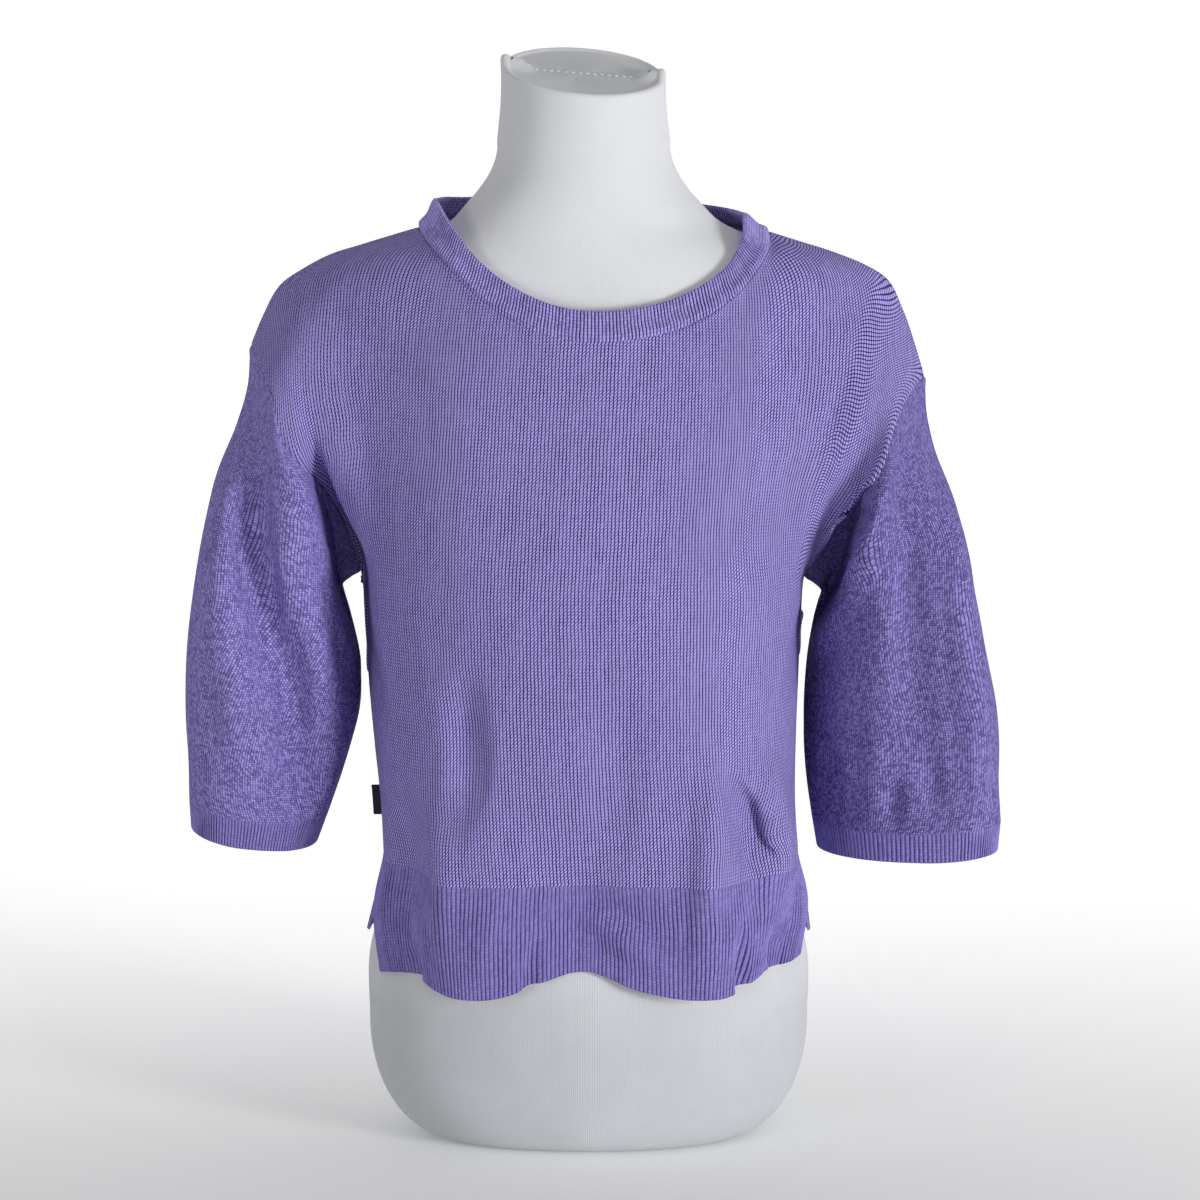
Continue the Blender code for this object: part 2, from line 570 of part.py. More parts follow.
def bridge(mesh, outer, inner, ring):
    """Faces between two rows of vertices; outer may have a whole number of times the inner's.

    Rows of equal length are parted from the outer row's lower corner, so that the rims of two pieces
    that meet at a seam are parted alike."""
    cells = len(inner) if ring else len(inner) - 1
    per_cell = (len(outer) if ring else len(outer) - 1) // cells
    for i in range(cells):
        a, b = inner[i], inner[(i + 1) % len(inner)]
        run = [outer[(i * per_cell + k) % len(outer)] for k in range(per_cell + 1)]
        if per_cell == 1:
            patch(mesh, run[0], run[1], b, a, run[0].co.z <= run[1].co.z)
            continue
        half = per_cell // 2
        mesh.faces.new((a, b, run[half]))
        for k in range(per_cell):
            mesh.faces.new((a if k < half else b, run[k + 1], run[k]))


def skins(mesh, rows, inside, ring):
    """The outer and inner faces of a wall whose two sides have the same points: parted alike."""
    count = len(rows[0])
    for r in range(len(rows) - 1):
        for i in range(count if ring else count - 1):
            j = (i + 1) % count
            corners = [(r, i), (r, j), (r + 1, j), (r + 1, i)]
            a, b, c, d = (rows[row][column].co for row, column in corners)
            first = (a - c).length <= (b - d).length
            for side in (rows, inside):
                patch(mesh, *(side[row][column] for row, column in corners), first)


def wall(name, outer, inner, ring, colour, roughness=0.9, fold=None):
    """A closed wall between two lists of rows, with the row called fold, if any, over its top."""
    mesh = bmesh.new()
    rows = [[mesh.verts.new(point) for point in row] for row in outer]
    rows += [[mesh.verts.new(point) for point in fold]] if fold is not None else []
    inside = [[mesh.verts.new(point) for point in row] for row in inner]
    if len(rows[0]) == len(inside[0]):
        skins(mesh, rows, inside, ring)
    else:
        for lower, upper in list(zip(rows, rows[1:])) + list(zip(inside, inside[1:])):
            bridge(mesh, lower, upper, ring)
    bridge(mesh, rows[0], inside[0], ring)
    bridge(mesh, rows[-1], inside[-1], ring)
    if not ring:
        for end in (0, -1):
            bridge(mesh, [row[end] for row in rows], [row[end] for row in inside], False)
    return finish(mesh, name, colour, roughness)


def finish(mesh, name, colour, roughness):
    """Makes one object of the sweater's collection from a mesh, its faces pointing out."""
    bmesh.ops.recalc_face_normals(mesh, faces=mesh.faces)
    data = bpy.data.meshes.new(name)
    mesh.to_mesh(data)
    mesh.free()
    data.shade_smooth()
    data.set_sharp_from_angle(angle=np.radians(50))
    made = bpy.data.objects.new(name, data)
    bpy.data.collections["knit_sweater"].objects.link(made)
    material = bpy.data.materials.new(name)
    material.use_nodes = True
    shader = material.node_tree.nodes["Principled BSDF"]
    shader.inputs["Base Color"].default_value = (*colour, 1)
    shader.inputs["Roughness"].default_value = roughness
    shader.inputs["Metallic"].default_value = 0
    data.materials.append(material)
    return made


def finer(grid, steps, ring):
    """Splits each cell of a grid's rows into this many steps, along straight lines."""
    wide = np.concatenate([grid, grid[:, :1]], axis=1) if ring else grid
    cells = wide.shape[1] - 1
    at = np.arange(cells * steps + (0 if ring else 1)) / steps
    i = np.minimum(at.astype(int), cells - 1)
    t = (at - i)[None, :, None]
    return (1 - t) * wide[:, i] + t * wide[:, i + 1]


def ribbed(grid, normal, per_cell, ring):
    """Adds ribs to rows of points: every second line is sunk to be a groove."""
    line, out = finer(grid, 2 * per_cell, ring), unit(finer(normal, 2 * per_cell, ring))
    sunk = np.where(np.arange(line.shape[1]) % 2 == 0, RIB_DEPTH, 0.0)
    return line - sunk[None, :, None] * out


def cloth(name, grid, normal, edges, thickness, colour, per_cell=0):
    """The wall of a piece: its edges are backed off from their seams, and its ribs raised."""
    ring = "ring" in edges
    grid = grid + seam_moves(grid, normal, edges)
    inner = grid - thickness * normal
    if per_cell:
        inner, grid = finer(inner, per_cell // RIBS_INSIDE, ring), ribbed(grid, normal, per_cell, ring)
    return wall(name, grid, inner, ring, colour)


def build_neckband(seam, store):
    """The folded band: its ribbed outer face, the fold along its top, and its plain inner face."""
    grid = neckband_grid(seam)
    own = {}
    add_normals(own, grid, True, 1)
    normal = normals_of(own, grid)
    normal[0] = normals_of(store, grid[:1])[0]
    grid = grid + seam_moves(grid, normal, ("first", "ring"))
    outer = ribbed(grid, normal, BAND_RIBS, True)
    rise = unit(grid[-1] - grid[-2]) * BAND_WALL * 0.6
    top = grid[-1:] + rise - normal[-1:] * BAND_WALL / 2
    fold = ribbed(top, unit(rise)[None], BAND_RIBS, True)[0]
    inner = finer(grid - BAND_WALL * normal, BAND_RIBS // RIBS_INSIDE, True)
    wall("neckband", outer, inner, True, KNIT_RIB, fold=fold)


def build_label(seam, normal):
    """The folded label: a small flat loop that stands out of the left side seam."""
    z = seam[:, 2]
    rows = []
    for height in (LABEL_LOW_Z, LABEL_LOW_Z + LABEL_HEIGHT):
        root = np.array([np.interp(height, z, seam[:, k]) for k in range(3)])
        out = unit(np.array([np.interp(height, z, normal[:, k]) for k in range(3)]) * (1, 1, 0))
        back = np.array([out[1], -out[0], 0.0])
        root = root + 0.0004 * out
        profile = [(0, -0.5), (0.85, -0.5), (1, -0.2), (1, 0.2), (0.85, 0.5), (0, 0.5)]
        rows.append([root + out * LABEL_OUT * a + back * LABEL_WALL * b for a, b in profile])
    mesh = bmesh.new()
    low, high = ([mesh.verts.new(point) for point in row] for row in rows)
    bridge(mesh, low, high, True)
    mesh.faces.new(low)
    mesh.faces.new(high)
    finish(mesh, "side_label", LABEL_BLACK, 0.8)


def main():
    for old in list(bpy.data.objects):
        bpy.data.objects.remove(old)
    bpy.context.scene.collection.children.link(bpy.data.collections.new("knit_sweater"))
    build_form()

    front_hem, front = body_grids(-1)
    back_hem, back = body_grids(1)
    columns = panel_columns()
    sewn = np.abs(columns) >= NECK_SHARE - 1e-9
    back[: LOWER_CELLS + 1, [0, -1]] = front[: LOWER_CELLS + 1, [0, -1]]
    back[-1, sewn] = front[-1, sewn]
    back_hem[-1] = back[0]
    cuffs, sleeves = {}, {}
    for side, end in (("left", 0), ("right", -1)):
        cuffs[side], sleeves[side] = sleeve_grids(side)
        sleeves[side][0] = np.concatenate([front[LOWER_CELLS:, end], back[LOWER_CELLS:, end][-2:0:-1]])
    at_neck = np.s_[SHOULDER_CELLS : SHOULDER_CELLS + NECK_CELLS + 1]
    neck_seam = np.concatenate([front[-1, at_neck], back[-1, at_neck][-2:0:-1]])

    store = {}
    for grid, ring, turn in (
        (front_hem, False, 1),
        (front, False, 1),
        (back_hem, False, -1),
        (back, False, -1),
        (sleeves["left"], True, 1),
        (sleeves["right"], True, -1),
        (cuffs["left"], True, -1),
        (cuffs["right"], True, 1),
        (neckband_grid(neck_seam), True, 1),
    ):
        add_normals(store, grid, ring, turn)

    panel_edges = ("left", "right", "first", "last")
    cloth("front_panel", front, normals_of(store, front), panel_edges, WALL, KNIT)
    cloth("back_panel", back, normals_of(store, back), panel_edges, WALL, KNIT)
    for name, grid in (("hem_rib_front", front_hem), ("hem_rib_back", back_hem)):
        cloth(name, grid, normals_of(store, grid), ("last",), RIB_WALL, KNIT_RIB, HEM_RIBS)
    for side in ("left", "right"):
        grid = sleeves[side]
        cloth("sleeve_" + side, grid, normals_of(store, grid), ("first", "last", "ring"), WALL, KNIT)
        grid = cuffs[side]
        rib = normals_of(store, grid)
        cloth("cuff_rib_" + side, grid, rib, ("last", "ring"), RIB_WALL, KNIT_RIB, CUFF_RIBS)
    build_neckband(neck_seam, store)
    build_label(front[: LOWER_CELLS + 1, 0], normals_of(store, front)[: LOWER_CELLS + 1, 0])


main()
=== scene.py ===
# %% [markdown]
# # A knit sweater on a dress form
#
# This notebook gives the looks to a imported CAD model: a cropped sweater with dropped shoulders, worn by a
# limbless form. The CAD's frame is in metres, +Z up, with the form's flat underside on z = 0, centred on the
# origin, and the sweater's front facing -Y. Left and right are as seen from the front.
#
# The order is: load the frame, repeat the sizes that the CAD was driven by, work out each piece as a smooth
# surface, press folds and seams into it, make it a thin closed shell, and dress it in knit.

import json

import bpy
import numpy as np
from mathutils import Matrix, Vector

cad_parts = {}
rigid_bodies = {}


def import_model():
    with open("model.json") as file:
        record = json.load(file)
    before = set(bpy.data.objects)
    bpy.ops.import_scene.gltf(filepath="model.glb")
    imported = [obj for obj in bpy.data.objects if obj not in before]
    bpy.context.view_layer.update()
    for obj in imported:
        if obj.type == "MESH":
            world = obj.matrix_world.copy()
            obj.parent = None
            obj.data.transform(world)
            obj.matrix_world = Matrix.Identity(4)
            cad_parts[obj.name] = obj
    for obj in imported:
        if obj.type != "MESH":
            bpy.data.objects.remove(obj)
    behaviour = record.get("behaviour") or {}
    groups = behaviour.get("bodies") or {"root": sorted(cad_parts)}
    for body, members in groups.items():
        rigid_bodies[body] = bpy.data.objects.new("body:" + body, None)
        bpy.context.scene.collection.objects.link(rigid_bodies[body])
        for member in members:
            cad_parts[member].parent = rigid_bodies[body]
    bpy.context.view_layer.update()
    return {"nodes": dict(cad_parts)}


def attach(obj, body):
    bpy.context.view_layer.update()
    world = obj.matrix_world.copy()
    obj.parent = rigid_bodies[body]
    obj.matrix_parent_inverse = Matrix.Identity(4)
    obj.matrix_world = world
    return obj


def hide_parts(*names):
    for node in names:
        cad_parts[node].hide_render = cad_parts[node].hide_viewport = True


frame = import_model()
print("nodes:", sorted(frame["nodes"]))

# %% [markdown]
# ## Sizes
#
# These are the sizes and tables that the CAD's solids were worked out from. Coarse grids of cells made from
# them lie exactly on the solids' outer faces.

# %% Sizes
WALL = 0.0021  # thickness of the plain knit
RIB_WALL = 0.0026  # thickness of the ribbed hem and cuffs, at a rib's crest
BAND_WALL = 0.0034  # the neckband is folded double
SEAM_GAP = 0.0004  # between two pieces that are sewn together
FORM_CLEARANCE = 0.0028  # least distance from the form to the inside of the cloth

UNDERARM_Z = 0.392
RIB_TOP_Z = 0.197  # the side slits end here too
FRONT_HEM_Z = 0.1195
BACK_HEM_Z = 0.140
CUFF_HEIGHT = 0.020
NECK_TOP_Z = 0.7346  # middle of the slanting top of the form's neck
NECK_TILT = np.radians(13.4)  # the top leans forwards
NECK_ROLL = np.radians(4.5)  # and a little to the right

SHOULDER_CELLS = 7  # columns of cloth from an armhole to the neck
NECK_CELLS = 14  # columns of cloth across the neckline
PANEL_CELLS = 2 * SHOULDER_CELLS + NECK_CELLS
LOWER_CELLS = 5  # rows from the ribbed hem to the underarm
UPPER_CELLS = 12  # rows from the underarm to the shoulder
SLEEVE_CELLS = 11  # rows down a sleeve
print("thickness of knit, rib and band, mm:", 1000 * np.array([WALL, RIB_WALL, BAND_WALL]))

# %% The form's sections
# The form, in level sections: half width, depth to the front, depth to the back, middle in x and y,
# and how square the section is (2 is an ellipse).
FORM_COLUMNS = ("z", "half", "front", "back", "mid_x", "mid_y", "square")
FORM_SECTIONS = (
    (0.080, 0.1530, 0.100, 0.112, 0.000, 0.000, 2.30),
    (0.130, 0.1522, 0.099, 0.114, 0.000, 0.000, 2.30),
    (0.165, 0.1420, 0.096, 0.106, 0.000, 0.000, 2.30),
    (0.200, 0.1315, 0.091, 0.096, 0.000, 0.000, 2.25),
    (0.285, 0.1180, 0.083, 0.079, -0.002, 0.000, 2.20),
    (0.360, 0.1290, 0.096, 0.080, -0.004, 0.000, 2.20),
    (0.415, 0.1400, 0.116, 0.088, -0.004, 0.000, 2.15),
    (0.470, 0.1490, 0.108, 0.096, -0.004, 0.000, 2.15),
    (0.520, 0.1640, 0.096, 0.098, -0.004, 0.000, 2.10),
    (0.555, 0.1830, 0.086, 0.093, -0.004, 0.000, 2.05),
    (0.575, 0.1920, 0.078, 0.086, -0.004, 0.001, 2.00),
    (0.588, 0.1920, 0.073, 0.081, -0.004, 0.002, 2.00),
    (0.598, 0.1820, 0.069, 0.077, -0.003, 0.003, 2.00),
    (0.608, 0.1630, 0.065, 0.073, -0.002, 0.004, 2.00),
    (0.618, 0.1320, 0.062, 0.069, -0.001, 0.005, 2.00),
    (0.630, 0.1000, 0.060, 0.065, -0.002, 0.006, 2.00),
    (0.648, 0.0790, 0.058, 0.061, -0.003, 0.007, 2.00),
    (0.670, 0.0630, 0.057, 0.059, -0.003, 0.008, 2.00),
    (0.695, 0.0572, 0.056, 0.057, -0.003, 0.008, 2.00),
    (0.780, 0.0570, 0.056, 0.056, -0.003, 0.008, 2.00),
)
BASE_ROUND_ACROSS = 0.050  # the underside rounds in by this much
BASE_ROUND_UP = 0.080  # over this height
print("sections of the form:", len(FORM_SECTIONS))

# %% The body's sections and folds
# The sweater's body below the arms: where its two sides lie, its depths and how square it is.
BODY_COLUMNS = ("z", "left", "right", "front", "back", "square")
BODY_SECTIONS = (
    (0.120, -0.1530, 0.1560, 0.1120, 0.1260, 2.45),
    (0.160, -0.1500, 0.1530, 0.1130, 0.1240, 2.45),
    (0.200, -0.1420, 0.1450, 0.1150, 0.1200, 2.45),
    (0.241, -0.1445, 0.1430, 0.1165, 0.1160, 2.45),
    (0.298, -0.1500, 0.1440, 0.1190, 0.1130, 2.45),
    (0.354, -0.1535, 0.1460, 0.1220, 0.1110, 2.45),
    (0.394, -0.1560, 0.1480, 0.1250, 0.1110, 2.45),
    (0.430, -0.1600, 0.1500, 0.1255, 0.1110, 2.45),
)

# Folds of the body, one a row: where the fold lies across a panel (-1 to 1) at its lower end, how much
# that place moves to the right for each metre up, its half width, its lower and upper ends, how far it
# stands out, or in below 0, and the share of its length over which it dies out upwards.
FRONT_FOLDS = (
    (-0.40, 0.00, 0.26, 0.060, 0.350, 0.0110, 0.60),
    (0.37, 0.25, 0.22, 0.060, 0.330, 0.0120, 0.60),
    (-0.02, 0.00, 0.22, 0.060, 0.280, -0.0120, 0.60),
    (-0.72, 0.10, 0.14, 0.060, 0.270, -0.0060, 0.60),
    (0.70, 0.30, 0.13, 0.060, 0.310, -0.0070, 0.60),
)
BACK_FOLDS = (
    (-0.52, 0.10, 0.26, 0.060, 0.420, 0.0090, 0.60),
    (0.50, -0.15, 0.28, 0.060, 0.440, 0.0095, 0.60),
    (0.00, 0.05, 0.26, 0.060, 0.380, -0.0060, 0.60),
)
# How far the front hem's edge rides up, across the panel.
HEM_COLUMNS = ("across", "up")
FRONT_HEM_EDGE = (
    (-1.00, 0.0050),
    (-0.62, 0.0080),
    (-0.45, 0.0010),
    (-0.28, 0.0015),
    (-0.15, 0.0110),
    (-0.02, 0.0180),
    (0.13, 0.0070),
    (0.27, 0.0010),
    (0.42, 0.0010),
    (0.60, 0.0090),
    (0.78, 0.0140),
    (1.00, 0.0170),
)
SLIT_FRONT = 0.24  # share of the half width by which the front hem draws away from each slit
SLIT_BACK = 0.02
print("sections of the body:", len(BODY_SECTIONS), "folds:", len(FRONT_FOLDS) + len(BACK_FOLDS))

# %% The armholes, the shoulders and the neck
# The armhole seams, from the underarm up to the end of the shoulder seam, by share of their length.
ARMHOLE_COLUMNS = ("share", "left_x", "left_z", "right_x", "right_z", "front_y", "back_y")
ARMHOLE_SEAM = (
    (0.00, -0.1560, 0.392, 0.1480, 0.388, 0.004, 0.004),
    (0.18, -0.1680, 0.430, 0.1600, 0.418, -0.040, 0.046),
    (0.36, -0.1860, 0.468, 0.1760, 0.446, -0.066, 0.072),
    (0.54, -0.2050, 0.497, 0.1960, 0.473, -0.075, 0.083),
    (0.72, -0.2125, 0.527, 0.2055, 0.501, -0.067, 0.073),
    (0.87, -0.2210, 0.543, 0.2165, 0.519, -0.040, 0.045),
    (1.00, -0.2310, 0.551, 0.2304, 0.530, 0.000, 0.000),
)

# The line of the shoulders, from the neck out to the armholes: share of the way, and its points.
SHOULDER_COLUMNS = ("share", "left_x", "left_z", "right_x", "right_z", "y")
SHOULDER_LINE = (
    (0.00, -0.1160, 0.6300, 0.1240, 0.6275, 0.006),
    (0.22, -0.1474, 0.6215, 0.1570, 0.6160, 0.006),
    (0.36, -0.1658, 0.6150, 0.1782, 0.6097, 0.005),
    (0.49, -0.1843, 0.6080, 0.1970, 0.6025, 0.005),
    (0.58, -0.1965, 0.6025, 0.2065, 0.5940, 0.004),
    (0.66, -0.2069, 0.5975, 0.2122, 0.5830, 0.004),
    (0.75, -0.2145, 0.5865, 0.2178, 0.5700, 0.003),
    (0.88, -0.2244, 0.5675, 0.2243, 0.5505, 0.002),
    (1.00, -0.2310, 0.5510, 0.2304, 0.5300, 0.000),
)
SOFT_GREATEST = 3.0  # the lower, the rounder
NECK_SHARE = 0.445  # of a panel's half width, where the neckline ends
NECK_DROP_FRONT = 0.066
NECK_DROP_BACK = 0.003
NECK_FRONT_Y = -0.094
NECK_BACK_Y = 0.084
# The neckband leans in and stands up from its seam, at shares of the way round from the left by the
# front to the right and by the back to the left again.
BAND_COLUMNS = ("share", "inward", "up")
BAND_LEAN = (
    (0.000, 0.0120, 0.0210),
    (0.125, 0.0110, 0.0205),
    (0.250, 0.0090, 0.0210),
    (0.375, 0.0125, 0.0190),
    (0.500, 0.0180, 0.0140),
    (0.625, 0.0130, 0.0180),
    (0.750, 0.0070, 0.0220),
    (0.875, 0.0100, 0.0210),
    (1.000, 0.0120, 0.0210),
)
print("the armholes end at x, m:", ARMHOLE_SEAM[-1][1], ARMHOLE_SEAM[-1][3])

# %% The sleeves' sections, and the label
# The sleeves in level sections: their outer and inner sides, and their depths front and back.
SLEEVE_COLUMNS = ("z", "outer", "inner", "front", "back")
SLEEVES = {
    "left": (
        (0.195, -0.2735, -0.1920, 0.0490, 0.0470),
        (0.241, -0.2757, -0.1750, 0.0570, 0.0560),
        (0.269, -0.2757, -0.1660, 0.0620, 0.0610),
        (0.298, -0.2769, -0.1590, 0.0655, 0.0660),
        (0.326, -0.2765, -0.1590, 0.0675, 0.0700),
        (0.354, -0.2746, -0.1640, 0.0690, 0.0735),
        (0.385, -0.2705, -0.1710, 0.0705, 0.0765),
        (0.420, -0.2645, -0.1740, 0.0720, 0.0785),
        (0.460, -0.2555, -0.1770, 0.0730, 0.0790),
        (0.500, -0.2465, -0.1830, 0.0725, 0.0760),
        (0.530, -0.2405, -0.1880, 0.0640, 0.0660),
        (0.560, -0.2320, -0.1950, 0.0480, 0.0480),
    ),
    "right": (
        (0.185, 0.2800, 0.1620, 0.0410, 0.0370),
        (0.227, 0.2840, 0.1550, 0.0480, 0.0430),
        (0.255, 0.2820, 0.1515, 0.0535, 0.0500),
        (0.298, 0.2811, 0.1510, 0.0600, 0.0590),
        (0.326, 0.2758, 0.1530, 0.0635, 0.0640),
        (0.354, 0.2699, 0.1570, 0.0660, 0.0690),
        (0.382, 0.2626, 0.1620, 0.0685, 0.0730),
        (0.410, 0.2581, 0.1655, 0.0700, 0.0760),
        (0.450, 0.2490, 0.1680, 0.0710, 0.0770),
        (0.490, 0.2405, 0.1730, 0.0680, 0.0730),
        (0.520, 0.2350, 0.1800, 0.0560, 0.0600),
        (0.543, 0.2300, 0.1860, 0.0420, 0.0440),
    ),
}
SLEEVE_SQUARE = 2.25
# Shares of a sleeve's length over which it turns from the armhole to its own section: at the outside,
# and under the arm, where it leaves the body almost level.
TURN_OUTSIDE, TURN_UNDERARM = 0.30, 0.16
LEVEL_UNDERARM = 0.7
# The height of the cuffs' lower edges, at the inside, the front, the outside and the back.
CUFF_EDGES = {"left": (0.2030, 0.2095, 0.2200, 0.2120), "right": (0.1960, 0.1985, 0.2060, 0.2030)}
# Folds of the sleeves, as those of the body: their place is the way round from under the arm, by the front.
SLEEVE_FOLDS = {
    "left": (
        (0.16, 0.60, 0.065, 0.215, 0.540, -0.0130, 0.30),
        (0.10, 0.50, 0.065, 0.215, 0.520, 0.0060, 0.40),
        (0.69, 0.10, 0.09, 0.215, 0.500, -0.0070, 0.40),
        (0.81, 0.00, 0.08, 0.215, 0.500, 0.0050, 0.40),
    ),
    "right": (
        (0.17, 0.20, 0.070, 0.240, 0.510, 0.0070, 0.40),
        (0.06, 1.60, 0.060, 0.355, 0.480, -0.0080, 0.50),
        (0.30, 0.10, 0.060, 0.205, 0.480, -0.0045, 0.40),
        (0.69, 0.10, 0.09, 0.205, 0.500, -0.0070, 0.40),
        (0.81, 0.00, 0.08, 0.205, 0.500, 0.0050, 0.40),
    ),
}

# The folded label in the left side seam.
LABEL_LOW_Z = 0.223
LABEL_HEIGHT = 0.021
LABEL_OUT = 0.0058  # how far it shows beyond the seam
LABEL_WALL = 0.0012
print("sections of the sleeves:", {side: len(rows) for side, rows in SLEEVES.items()})

# %% [markdown]
# ## Reading the tables
#
# A worn body has no corners, so a table is read on a smooth curve through its rows, where straight lines
# between them would show as edges. A section is a superellipse: at an angle $a$ its point is
# $(h\,|\cos a|^{2/n},\; d\,|\sin a|^{2/n})$ with the signs of the cosine and sine, and $n = 2$ is an ellipse.

# %% Curves and sections
def read(rows, names, at, *wanted):
    """The wanted columns of a table at these parameters, on a smooth curve through its rows.

    Between two rows the curve is a cubic whose slope at each row is that of the row's neighbours."""
    table = np.array(rows, float)
    x, y = table[:, 0], table[:, [names.index(name) for name in wanted]]
    slope = np.gradient(y, x, axis=0)
    at = np.clip(np.asarray(at, float), x[0], x[-1])
    i = np.clip(np.searchsorted(x, at, side="right") - 1, 0, len(x) - 2)
    h = (x[i + 1] - x[i])[..., None]
    t = ((at - x[i]) / (x[i + 1] - x[i]))[..., None]
    found = (2 * t**3 - 3 * t**2 + 1) * y[i] + (t**3 - 2 * t**2 + t) * h * slope[i]
    found = found + (3 * t**2 - 2 * t**3) * y[i + 1] + (t**3 - t**2) * h * slope[i + 1]
    return [found[..., k] for k in range(len(wanted))]


def unit(vectors):
    """Vectors divided by their lengths."""
    return vectors / np.maximum(np.linalg.norm(vectors, axis=-1, keepdims=True), 1e-12)


def ease(t):
    """0 before 0, 1 after 1, and a smooth step between."""
    t = np.clip(t, 0, 1)
    return t * t * (3 - 2 * t)


def bump(t):
    """1 at 0, falling smoothly to 0 at -1 and at 1."""
    return ease(1 - np.abs(t))


def arc(x, y):
    """Length along a line of points from its first: the running sum of its steps."""
    return np.concatenate([[0], np.cumsum(np.hypot(np.diff(x), np.diff(y)))])


def superellipse(angle, half, depth, square):
    """A point of a rounded section: angle 0 lies across it, a quarter turn lies along its depth."""
    power = 2 / square
    across = half * np.sign(np.cos(angle)) * np.abs(np.cos(angle)) ** power
    along = depth * np.sign(np.sin(angle)) * np.abs(np.sin(angle)) ** power
    return across, along


def fold_height(place, z, folds):
    """How far the folds of a table stand out at these places and heights."""
    out = np.zeros(np.broadcast(place, z).shape)
    for centre, lean, width, low, high, height, fade in folds:
        upwards = ease((high - z) / (fade * (high - low)))
        in_place = bump((place - centre - lean * (z - low)) / width)
        out += height * upwards * ease((z - low) / 0.03) * in_place
    return out


print("the form's waist, m:", np.round(2 * read(FORM_SECTIONS, FORM_COLUMNS, 0.285, "half")[0], 4))

# %% [markdown]
# ## The form, and staying clear of it
#
# The form's level is $(|x/h|^n + |y/d|^n)^{1/n}$: 1 on its surface. Points too close to it are moved along
# the level's slope.

# %% The form's surface
def form_sizes(z):
    """The form's section at height z, with its rounded underside."""
    half, front, back, mid_x, mid_y, square = read(FORM_SECTIONS, FORM_COLUMNS, z, *FORM_COLUMNS[1:])
    below = np.clip(1 - np.asarray(z) / BASE_ROUND_UP, 0, 1)
    inset = BASE_ROUND_ACROSS * (1 - np.sqrt(1 - below**2))
    return half - inset, front - 0.7 * inset, back - 0.7 * inset, mid_x, mid_y, square


def form_level(points):
    """1 on the form's surface, less inside and more outside: a point's reach over the section's."""
    half, front, back, mid_x, mid_y, square = form_sizes(points[..., 2])
    x = np.abs(points[..., 0] - mid_x) / half
    y = points[..., 1] - mid_y
    y = np.where(y < 0, -y / front, y / back)
    return (x**square + y**square + 1e-12) ** (1 / square)


def off_the_form(points, clearance):
    """Moves points that lie nearer to the form than the clearance straight out from its surface."""
    points = np.array(points, float)
    step = 1e-4
    for _ in range(12):
        level = form_level(points)
        slope = np.stack(
            [(form_level(points + step * axis) - level) / step for axis in np.eye(3)], axis=-1
        )
        steep = np.linalg.norm(slope, axis=-1)
        short = np.clip(clearance - (level - 1) / steep, 0, 0.006)
        points += (short / steep)[..., None] * slope
    return points


print("form's level at two points of the chest:", form_level(np.array([[0, -0.1, 0.43], [0, -0.2, 0.43]])))

# %% [markdown]
# ## The coarse grids of the body
#
# The front and the back are two knitted panels, wide at the hem and cut out at the armholes and the neck. A
# cloth simulation could drape them, but would not fall as in the photograph. Here level rows are laid round
# the body, and above the underarm they bend between it, the armholes' seams and the shoulders. The same cells
# made the CAD's solids, so what is worked out from them lies on those.

# %% Level rows of the body
def panel_columns():
    """Where the columns of a panel lie across it, from -1 at its left side to 1 at its right."""
    shoulder = np.linspace(NECK_SHARE, 1, SHOULDER_CELLS + 1)
    neck = np.linspace(-NECK_SHARE, NECK_SHARE, NECK_CELLS + 1)
    return np.concatenate([-shoulder[:0:-1], neck, shoulder[1:]])


def body_row(columns, z, face, slit=0.0):
    """A level row of the body: face is -1 for the front and 1 for the back.

    slit, from 0 to 1, is how far the row is drawn in from the two side slits."""
    left, right, front, back, square = read(BODY_SECTIONS, BODY_COLUMNS, z, *BODY_COLUMNS[1:])
    fine = np.linspace(np.pi, 0, 181)
    x, y = superellipse(fine, (right - left) / 2, front if face < 0 else back, square)
    length = arc(x, y)
    length = 2 * length / length[-1] - 1
    drawn = columns * (1 - (SLIT_FRONT if face < 0 else SLIT_BACK) * slit * np.abs(columns) ** 2)
    x, y = np.interp(drawn, length, x), face * np.interp(drawn, length, y)
    out = fold_height(columns, z, FRONT_FOLDS if face < 0 else BACK_FOLDS)
    away = unit(np.stack([x, 1.5 * y], axis=-1)) * out[:, None]
    return np.stack([x + away[:, 0] + (left + right) / 2, y + away[:, 1], np.full_like(x, z)], axis=-1)


print("ends of a row at z = 0.3 m:", np.round(body_row(panel_columns(), 0.3, -1)[[0, -1]], 3).tolist())

# %% The seams that the panels are cut along
def armhole(share, side, face):
    """Points of the front or back half of an armhole's seam."""
    depth = "front_y" if face < 0 else "back_y"
    x, z, y = read(ARMHOLE_SEAM, ARMHOLE_COLUMNS, share, side + "_x", side + "_z", depth)
    return np.stack([x, y, z], axis=-1)


def shoulder_line(share, side):
    """Points of a shoulder's seam, from the neck out to the armhole."""
    x, z, y = read(SHOULDER_LINE, SHOULDER_COLUMNS, share, side + "_x", side + "_z", "y")
    return np.stack([x, y, z], axis=-1)


